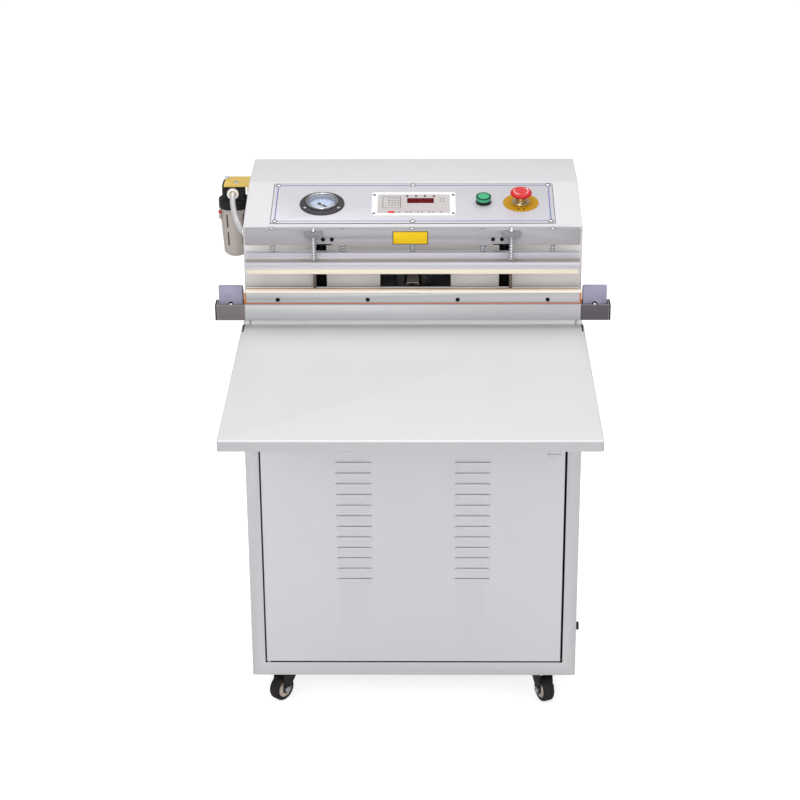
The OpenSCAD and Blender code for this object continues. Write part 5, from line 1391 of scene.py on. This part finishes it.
@dataclass
class UpperJaw(SubAssembly):
    """Pressure beam, floating carrier, bolts and springs."""

    bolt_pitch: float = 127.0
    bolt_y: float = 90.0
    rod_x: float = 178.5
    rod_y: float = 72.0
    upright_z: float = 905.9
    ledge_z: float = 893.9
    beam_z: float = 921.9
    rod_hole: float = 3.3
    block_z: float = 941.1
    beam_top: float = 949.75
    block: tuple[float, float, float] = (31.0, 16.0, 8.5)
    flange_x: float = 163.0
    beam_y: float = 80.0
    plate_x: float = -3.8
    plate_z: float = 935.75

    def build(self) -> None:
        """Dresses the beam and the carrier and winds the springs."""
        dress("pressure_beam", BEAM_GREY, 0.5)
        w, d, h = self.block
        low, high, hole = self.block_z - 0.05, self.block_z + h + 0.05, self.rod_hole
        front, back = self.beam_y - d - 0.05, self.beam_y - 0.02
        half, near = w / 2 + 0.05, self.rod_y - hole
        plan = ((-half, front, half, near), (-half, near, -hole, back), (hole, near, half, back),
                (-hole, self.rod_y + hole, hole, back))
        blocks = [brick((x + left, fore, low), (x + right, aft, high), 0.3)
                  for x in (-self.rod_x, self.rod_x) for left, fore, right, aft in plan]
        make_piece("rod_blocks", joined(blocks), ZINC_ROUGH, "upper_beam")
        feet = [brick((s * self.flange_x - 17, self.beam_y - 0.15, self.beam_z),
                      (s * self.flange_x + 17, self.beam_y + 0.1, self.beam_z + 2.0), 0.1) for s in (-1, 1)]
        make_piece("arm_flanges", joined(feet), BLACK_OXIDE, "upper_beam")
        dress("beam_plate", YELLOW, 0.2)
        self.plate_line()
        dress("arm_screws", BLACK_OXIDE, 0.4)
        dress("drive_arms", BLACK_STEEL, 0.8)
        dress("seal_carrier", ALUMINIUM_PALE, 0.5)
        # The upper strip takes the darker silicone: painted shade.
        dress("upper_strip", SILICONE_SHADED, 0.5)
        # A thin dark sheet on the ledge's top: painted shade and painted reflection under the beam.
        thin_sheet = brick((-303.4, 65.0, self.ledge_z - 0.05), (303.4, 83.0, self.ledge_z + 0.12), 0.1)
        make_piece("ledge_painted_shade", thin_sheet, LEDGE_SHADE, "upper_jaw")
        pitch, y, z = self.bolt_pitch, self.bolt_y, self.beam_top
        cut(dress("carrier_studs", CHROME, 0.3),
            [brick((x - 14, y - 14, z), (x + 14, y + 14, z + 14), 0.1) for x in (-pitch, pitch)])
        short = [(i * self.bolt_pitch, self.bolt_y) for i in range(-2, 3)]
        long = [(s * self.rod_x, self.rod_y) for s in (-1, 1)]
        self.springs("short_coils", "short_springs", short, 5.05, 0.7, self.upright_z, self.beam_z, 3, 0.5)
        self.springs("long_coils", "long_springs", long, 4.0, 0.8, self.ledge_z, self.block_z, 9, 0.83)

    def plate_line(self) -> None:
        """The dark line round the yellow plate's edge."""
        line = flat_ring(round_rect(63.8, 24.7, 0.8, 4), round_rect(61.2, 22.1, 0.6, 4), 0.86)
        seat = Seat((self.plate_x, self.beam_y, self.plate_z), (1, 0, 0), (0, 0, 1), (0, -1, 0))
        make_piece("beam_plate_line", line, MARK_DARK, "upper_beam", seat)

    @staticmethod
    def springs(name: str, node: str, places: Sequence[tuple[float, float]], radius: float, wire: float,
                low: float, high: float, turns: int, keep: float) -> None:
        """Coil springs as round wire along a helix: x = r cos t, y = r sin t, z = low + pitch times t.

        Args:
            name: The piece's name.
            node: The CAD node that it stands for.
            places: Where the springs stand.
            radius: Radius of the coil's centre line.
            wire: Radius of the wire.
            low: Height of the lower seat.
            high: Height of the upper seat.
            turns: Number of turns.
            keep: The share of its length that it keeps when the jaw gives; not used.
        """
        t = np.linspace(0, 2 * np.pi * turns, 28 * turns + 1)
        z = low + wire + (high - low - 2 * wire) * (t / t[-1])
        helix = np.stack([radius * np.cos(t), radius * np.sin(t), z], 1)
        outward = np.stack([np.cos(t), np.sin(t), np.zeros_like(t)], 1)
        coils = joined(tube(helix + [x, y, 0], wire, 10, outward) for x, y in places)
        piece = make_piece(name, coils, SPRING, "upper_jaw", smooth=60.0)
        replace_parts(piece, node)
        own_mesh(piece)


@dataclass
class Suction(SubAssembly):
    """The nozzle, its guide and the lifting cylinders."""

    tip_y: float = 97.0
    low: float = 838.3
    mouth_w: float = 23.0
    mouth_h: float = 6.0
    tube_r: float = 6.0
    neck: float = 34.0
    flare: float = 46.0
    length: float = 190.0
    wall: float = 1.0

    def build(self) -> None:
        """Makes the nozzle and dresses what is inside the head."""
        dress("nozzle_guide", BLACK_PLASTIC, 0.8)
        # The lift cylinders are drawn black: painted shade for the dark inside of the head seen through its
        # slots.
        dress("lift_cylinders", BLACK_OXIDE, 0.8)
        self.nozzle()

    def nozzle(self) -> None:
        """A loft from a flat mouth to a round tube: superellipses whose half sizes and power change."""
        y = np.concatenate([[0.0, 1.0, 4.0], np.linspace(10, self.neck, 8),
                            np.linspace(self.neck + 2, self.flare, 7),
                            [self.flare + 4, self.flare + 30, self.length]])
        t = np.clip((y - self.neck) / (self.flare - self.neck), 0, 1)
        t = t * t * (3 - 2 * t)
        half_w = self.mouth_w / 2 * (1 - t) + self.tube_r * t
        half_h = self.mouth_h / 2 * (1 - t) + self.tube_r * t
        power = 4.5 * (1 - t) + 2.0 * t
        rings = self.rings(y, half_w, half_h, power)
        inner = self.rings(y, half_w - self.wall, half_h - self.wall, power)[::-1]
        n = rings.shape[1]
        points = np.concatenate([rings, inner]).reshape(-1, 3)
        surface = Surface(points, quads(2 * len(y), n, wrap_rows=True, wrap_cols=True).tolist())
        seat = Seat((0.0, self.tip_y, self.low))
        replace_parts(make_piece("nozzle_tube", surface, NOZZLE, "suction", seat), "nozzle")

    @staticmethod
    def rings(y: Array, half_w: Array, half_h: Array, power: Array, sides: int = 48) -> Array:
        """Superellipse rings: x = w sign(cos a) |cos a|^(2/p), z = h + h sign(sin a) |sin a|^(2/p).

        Args:
            y: The place of each ring.
            half_w: Half of each ring's width.
            half_h: Half of each ring's height.
            power: The power p of each ring.
            sides: Points on a ring.

        Returns:
            The rings, one row of points each.
        """
        a = np.linspace(0, 2 * np.pi, sides, endpoint=False)[None]
        c, s, p = np.cos(a), np.sin(a), (2 / power)[:, None]
        x = half_w[:, None] * np.sign(c) * np.abs(c) ** p
        z = half_h[:, None] * (1 + np.sign(s) * np.abs(s) ** p)
        return np.stack([x, np.broadcast_to(y[:, None], x.shape), z], -1)


@dataclass
class AirFilter(SubAssembly):
    """The filter on the head's left side with its bracket, fitting and hose."""

    x: float = -340.5
    y: float = 300.0
    top: float = 972.0
    side: float = 41.0
    hose_r: float = 5.2
    bore_r: float = 4.0
    port_y: float = 180.0
    port_z: float = 913.0

    def build(self) -> None:
        """Dresses the filter and makes its hose."""
        dress("filter_head", BLACK_PLASTIC, 1.0)
        dress("filter_bracket", YELLOW_ZINC, 0.5)
        dress("filter_bowl", GREY_PLASTIC, 0.5)
        dress("filter_lock", GREY_PLASTIC, 0.4)
        dress("filter_fitting", WHITE_PLASTIC, 0.8)
        self.details()
        self.hose()

    def details(self) -> None:
        """The bracket's screws, the fitting's nut with a dark ring of painted shade round it, a dark sheet
        of painted shade inside the bowl behind its slots, and the catch's mark.
        """
        places = ((self.x - 14.5, self.y + 20.5), (self.x + 6.0, self.y - 10.25))
        seats = [Seat((x, y, self.top + 2.6)) for x, y in places]
        screws("bracket_screws", seats, 4.0, 2.4, BLUE_ZINC, "root")
        front = Seat((self.x, self.y - self.side / 2, self.top - 15), (1, 0, 0), (0, 0, 1), (0, -1, 0))
        # A dark ring round the fitting's nut: painted shade.
        ring = lathe([(6.2, 5.0), (9.0, 5.0), (9.0, 5.4), (6.2, 5.4)], 40)
        make_piece("fitting_shade_ring", ring, SHADE, "root", front)
        bore, rim = self.hose_r + 0.1, self.hose_r + 1.9
        nut = lathe([(bore, 4.0), (rim, 4.0), (rim, 8.5), (bore, 8.5)], 6)
        make_piece("fitting_nut", nut, BRASS, "root", front, smooth=20.0)
        low, high = (corner.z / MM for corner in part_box("filter_bowl"))
        # A dark cone inside the bowl: painted shade behind its slots.
        shade_sheet = lathe([(18.6, low + 8), (18.6, low + 8.1), (24.4, high - 16), (24.4, high - 16.1)], 64)
        make_piece("bowl_slot_shade", shade_sheet, SLOT_SHADE, "bowl", Seat((self.x, self.y, 0.0)))
        low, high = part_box("filter_lock")
        a, b = np.array(low) / MM - SHIFT, np.array(high) / MM - SHIFT
        mark = brick((a[0] + 0.02, a[1] - 0.1, b[2] - 5.5), (b[0] + 0.1, b[1] + 0.1, b[2] - 1.0))
        make_piece("catch_mark", mark, RED, "bowl_catch")

    def hose(self) -> None:
        """The clear hose: a Bezier curve from the barb to the port, with an outer and an inner wall."""
        a = np.array([self.x, self.y - self.side / 2 - 16, self.top - 15])
        d = np.array([-316.0, self.port_y, self.port_z])
        b, c = a + [2, -24, -22], d + [-12, 0, 22]
        t = np.linspace(0, 1, 40)[:, None]
        path = (1 - t) ** 3 * a + 3 * (1 - t) ** 2 * t * b + 3 * (1 - t) * t * t * c + t ** 3 * d
        outer, inner = tube(path, self.hose_r, 20), tube(path, self.bore_r, 20)
        n = 20 * len(path)
        faces = outer.faces[:-2] + [[i + n for i in face[::-1]] for face in inner.faces[:-2]]
        for start in (0, n - 20):
            edges = [(start + i, start + (i + 1) % 20) for i in range(20)]
            faces += [[i, j, n + j, n + i] for i, j in edges]
        points = np.vstack([outer.points, inner.points])
        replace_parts(make_piece("hose_wall", Surface(points, faces), HOSE, "root"), "filter_hose")


@dataclass
class Casters(SubAssembly):
    """Four swivel casters: fork, wheel and bright axle bolt."""

    wheel_r: float = 25.0
    wheel_w: float = 22.0

    def build(self) -> None:
        """Dresses the plates and forks and turns the wheels."""
        dress("caster_plates", ZINC, 0.6)
        for corner in ("fl", "fr", "rl", "rr"):
            dress("caster_fork_" + corner, BLACK_STEEL, 0.6)
            self.wheel(corner)

    def wheel(self, corner: str) -> None:
        """A tyre and a hub as turned profiles about the axle, and a bolt head at each end of it.

        Args:
            corner: Which caster.
        """
        joint = next(j for j in frame["joints"] if j["name"] == "roll_" + corner)
        axis = np.array(joint["axis"], float)
        centre = tuple(np.array(joint["pos_m"]) / MM - SHIFT)
        seat = Seat(centre, (0, 0, 1), tuple(np.cross(axis, (0, 0, 1))), tuple(axis))
        r, w = self.wheel_r, self.wheel_w / 2
        tyre = lathe([(r - 8.2, -w + 1.2), (r - 7.6, -w + 0.2)] + arc((r - 5.0, -w + 5.0), 5.0, -90, -10, 7)
                     + arc((r - 5.0, w - 5.0), 5.0, 10, 90, 7)
                     + [(r - 7.6, w - 0.2), (r - 8.2, w - 1.2)], 72)
        side = [(4.05, w), (7.6, w), (8.2, w - 0.6), (9.2, w - 2.6), (14.0, w - 2.6), (15.4, w - 1.0),
                (r - 8.0, w - 1.0)]
        hub = lathe([(radius, -out) for radius, out in side] + side[::-1], 72)
        piece = make_piece("tyre_" + corner, tyre, TYRE, "roller_" + corner, seat)
        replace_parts(piece, "wheel_" + corner)
        make_piece("hub_" + corner, hub, HUB, "roller_" + corner, seat)
        a = np.arange(6) * np.pi / 3
        hexagon = slab(np.stack([7.0 * np.cos(a), 7.0 * np.sin(a)], 1), 0.05, 3.9, 0.5, 2)
        head = hexagon + lathe([(0, 3.8), (4.0, 3.8), (4.0, 4.9), (3.4, 5.5), (0, 5.5)], 24)
        heads = [head.seated(replace(seat, z=tuple(s * axis)).moved(0, 0, w + 3.5)) for s in (-1, 1)]
        make_piece("axle_bolt_" + corner, joined(heads), ZINC, "fork_" + corner)


@dataclass
class Inside(SubAssembly):
    """What the cabinet holds."""

    def build(self) -> None:
        """Dresses the pump and the transformer."""
        dress("vacuum_pump", PUMP_PAINT, 1.5)
        dress("transformer", COPPER, 0.5)


@dataclass
class Studio(SubAssembly):
    """Floor, light and the camera at the photograph's angle."""

    position: tuple[float, float, float] = (36.29, -3618.64, 2197.27)
    yaw: float = -0.94
    pitch: float = 23.13
    roll: float = -0.39
    focal_px: float = 2157.95
    image_px: float = 800.0
    sensor: float = 36.0

    def build(self) -> None:
        """Sets the stage."""
        self.world()
        self.floor()
        self.lamps()
        self.camera()
        bpy.context.scene.view_settings.view_transform = "Standard"

    def world(self) -> None:
        """A world that is white to the camera and in reflections, and softer as light."""
        world = bpy.data.worlds.new("studio")
        bpy.context.scene.world = world
        world.use_nodes = True
        nodes, links = world.node_tree.nodes, world.node_tree.links
        back = nodes["Background"]
        back.inputs["Color"].default_value = (1.0, 1.0, 1.0, 1.0)
        rays = nodes.new("ShaderNodeLightPath")
        seen = nodes.new("ShaderNodeMath")
        seen.operation = "MAXIMUM"
        links.new(rays.outputs["Is Camera Ray"], seen.inputs[0])
        links.new(rays.outputs["Is Transmission Ray"], seen.inputs[1])
        level = nodes.new("ShaderNodeMapRange")
        level.inputs["To Min"].default_value = 0.48
        level.inputs["To Max"].default_value = 1.0
        links.new(seen.outputs[0], level.inputs["Value"])
        links.new(level.outputs["Result"], back.inputs["Strength"])

    def floor(self) -> None:
        """A wide pale floor that reads as white to the camera away from the shadow."""
        size = 9000.0
        corners = np.array([[-size, -size, 0], [size, -size, 0], [size, size, 0], [-size, size, 0]])
        mesh = bpy.data.meshes.new("floor")
        mesh.from_pydata((corners * MM).tolist(), [], [[0, 1, 2, 3]])
        made = bpy.data.materials.new("floor_white")
        made.use_nodes = True
        nodes, links = made.node_tree.nodes, made.node_tree.links
        shader = nodes["Principled BSDF"]
        shader.inputs["Base Color"].default_value = (0.86, 0.86, 0.87, 1.0)
        shader.inputs["Roughness"].default_value = 0.8
        rays = nodes.new("ShaderNodeLightPath")
        seen = nodes.new("ShaderNodeMath")
        seen.operation = "MULTIPLY"
        seen.inputs[1].default_value = 0.62
        links.new(rays.outputs["Is Camera Ray"], seen.inputs[0])
        shader.inputs["Emission Color"].default_value = (1.0, 1.0, 1.0, 1.0)
        links.new(seen.outputs[0], shader.inputs["Emission Strength"])
        mesh.materials.append(made)
        floor = bpy.data.objects.new("floor", mesh)
        bpy.context.scene.collection.objects.link(floor)
        floor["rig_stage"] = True

    def lamps(self) -> None:
        """A large soft key from above on the left, a fill from the right, one in front and one above."""
        rows = (("key", (-900, -2600, 2900), 2200, 30.0), ("fill", (1900, -2400, 900), 1800, 10.0),
                ("front", (0, -3000, 1500), 1400, 22.0), ("top", (0, 200, 3000), 2400, 33.5))
        for name, place, size, power in rows:
            light = bpy.data.lights.new(name, "AREA")
            light.size, light.energy = size * MM, power
            lamp = bpy.data.objects.new(name, light)
            bpy.context.scene.collection.objects.link(lamp)
            lamp.location = Vector(place) * MM
            aim = Vector((0, 0, 0.6)) - lamp.location
            lamp.rotation_euler = aim.to_track_quat("-Z", "Y").to_euler()

    def camera(self) -> None:
        """The camera as it was fitted to the photograph: forward from yaw and pitch, then its roll."""
        yaw, pitch, roll = np.radians([self.yaw, self.pitch, self.roll])
        forward = np.array([np.sin(yaw) * np.cos(pitch), np.cos(yaw) * np.cos(pitch), -np.sin(pitch)])
        right = np.array([np.cos(yaw), -np.sin(yaw), 0.0])
        up = np.cross(right, forward)
        right = right * np.cos(roll) + up * np.sin(roll)
        up = np.cross(right, forward)
        data = bpy.data.cameras.new("camera")
        data.sensor_width = self.sensor
        data.lens = self.focal_px / self.image_px * self.sensor
        data.clip_end = 100.0
        camera = bpy.data.objects.new("camera", data)
        bpy.context.scene.collection.objects.link(camera)
        turn = Matrix(np.stack([right, up, -forward], 1).tolist()).to_4x4()
        camera.matrix_world = Matrix.Translation(Vector((np.array(self.position) + SHIFT) * MM)) @ turn
        bpy.context.scene.camera = camera


def main() -> None:
    """Builds the machine's sub-assemblies in order, then the stage, and reports each."""
    logging.basicConfig(level=logging.INFO, format="%(message)s")
    head = Head()
    for part in (Cabinet(), WorkTable(), head, Gauge(head), Controller(head), Signals(head), LowerJaw(head),
                 UpperJaw(), Suction(), AirFilter(), Casters(), Inside(), Studio()):
        part.build()
        part.report()
    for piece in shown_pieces():
        LOG.info("piece %s: %d faces", piece.name, len(piece.data.polygons))


if __name__ == "__main__":
    main()
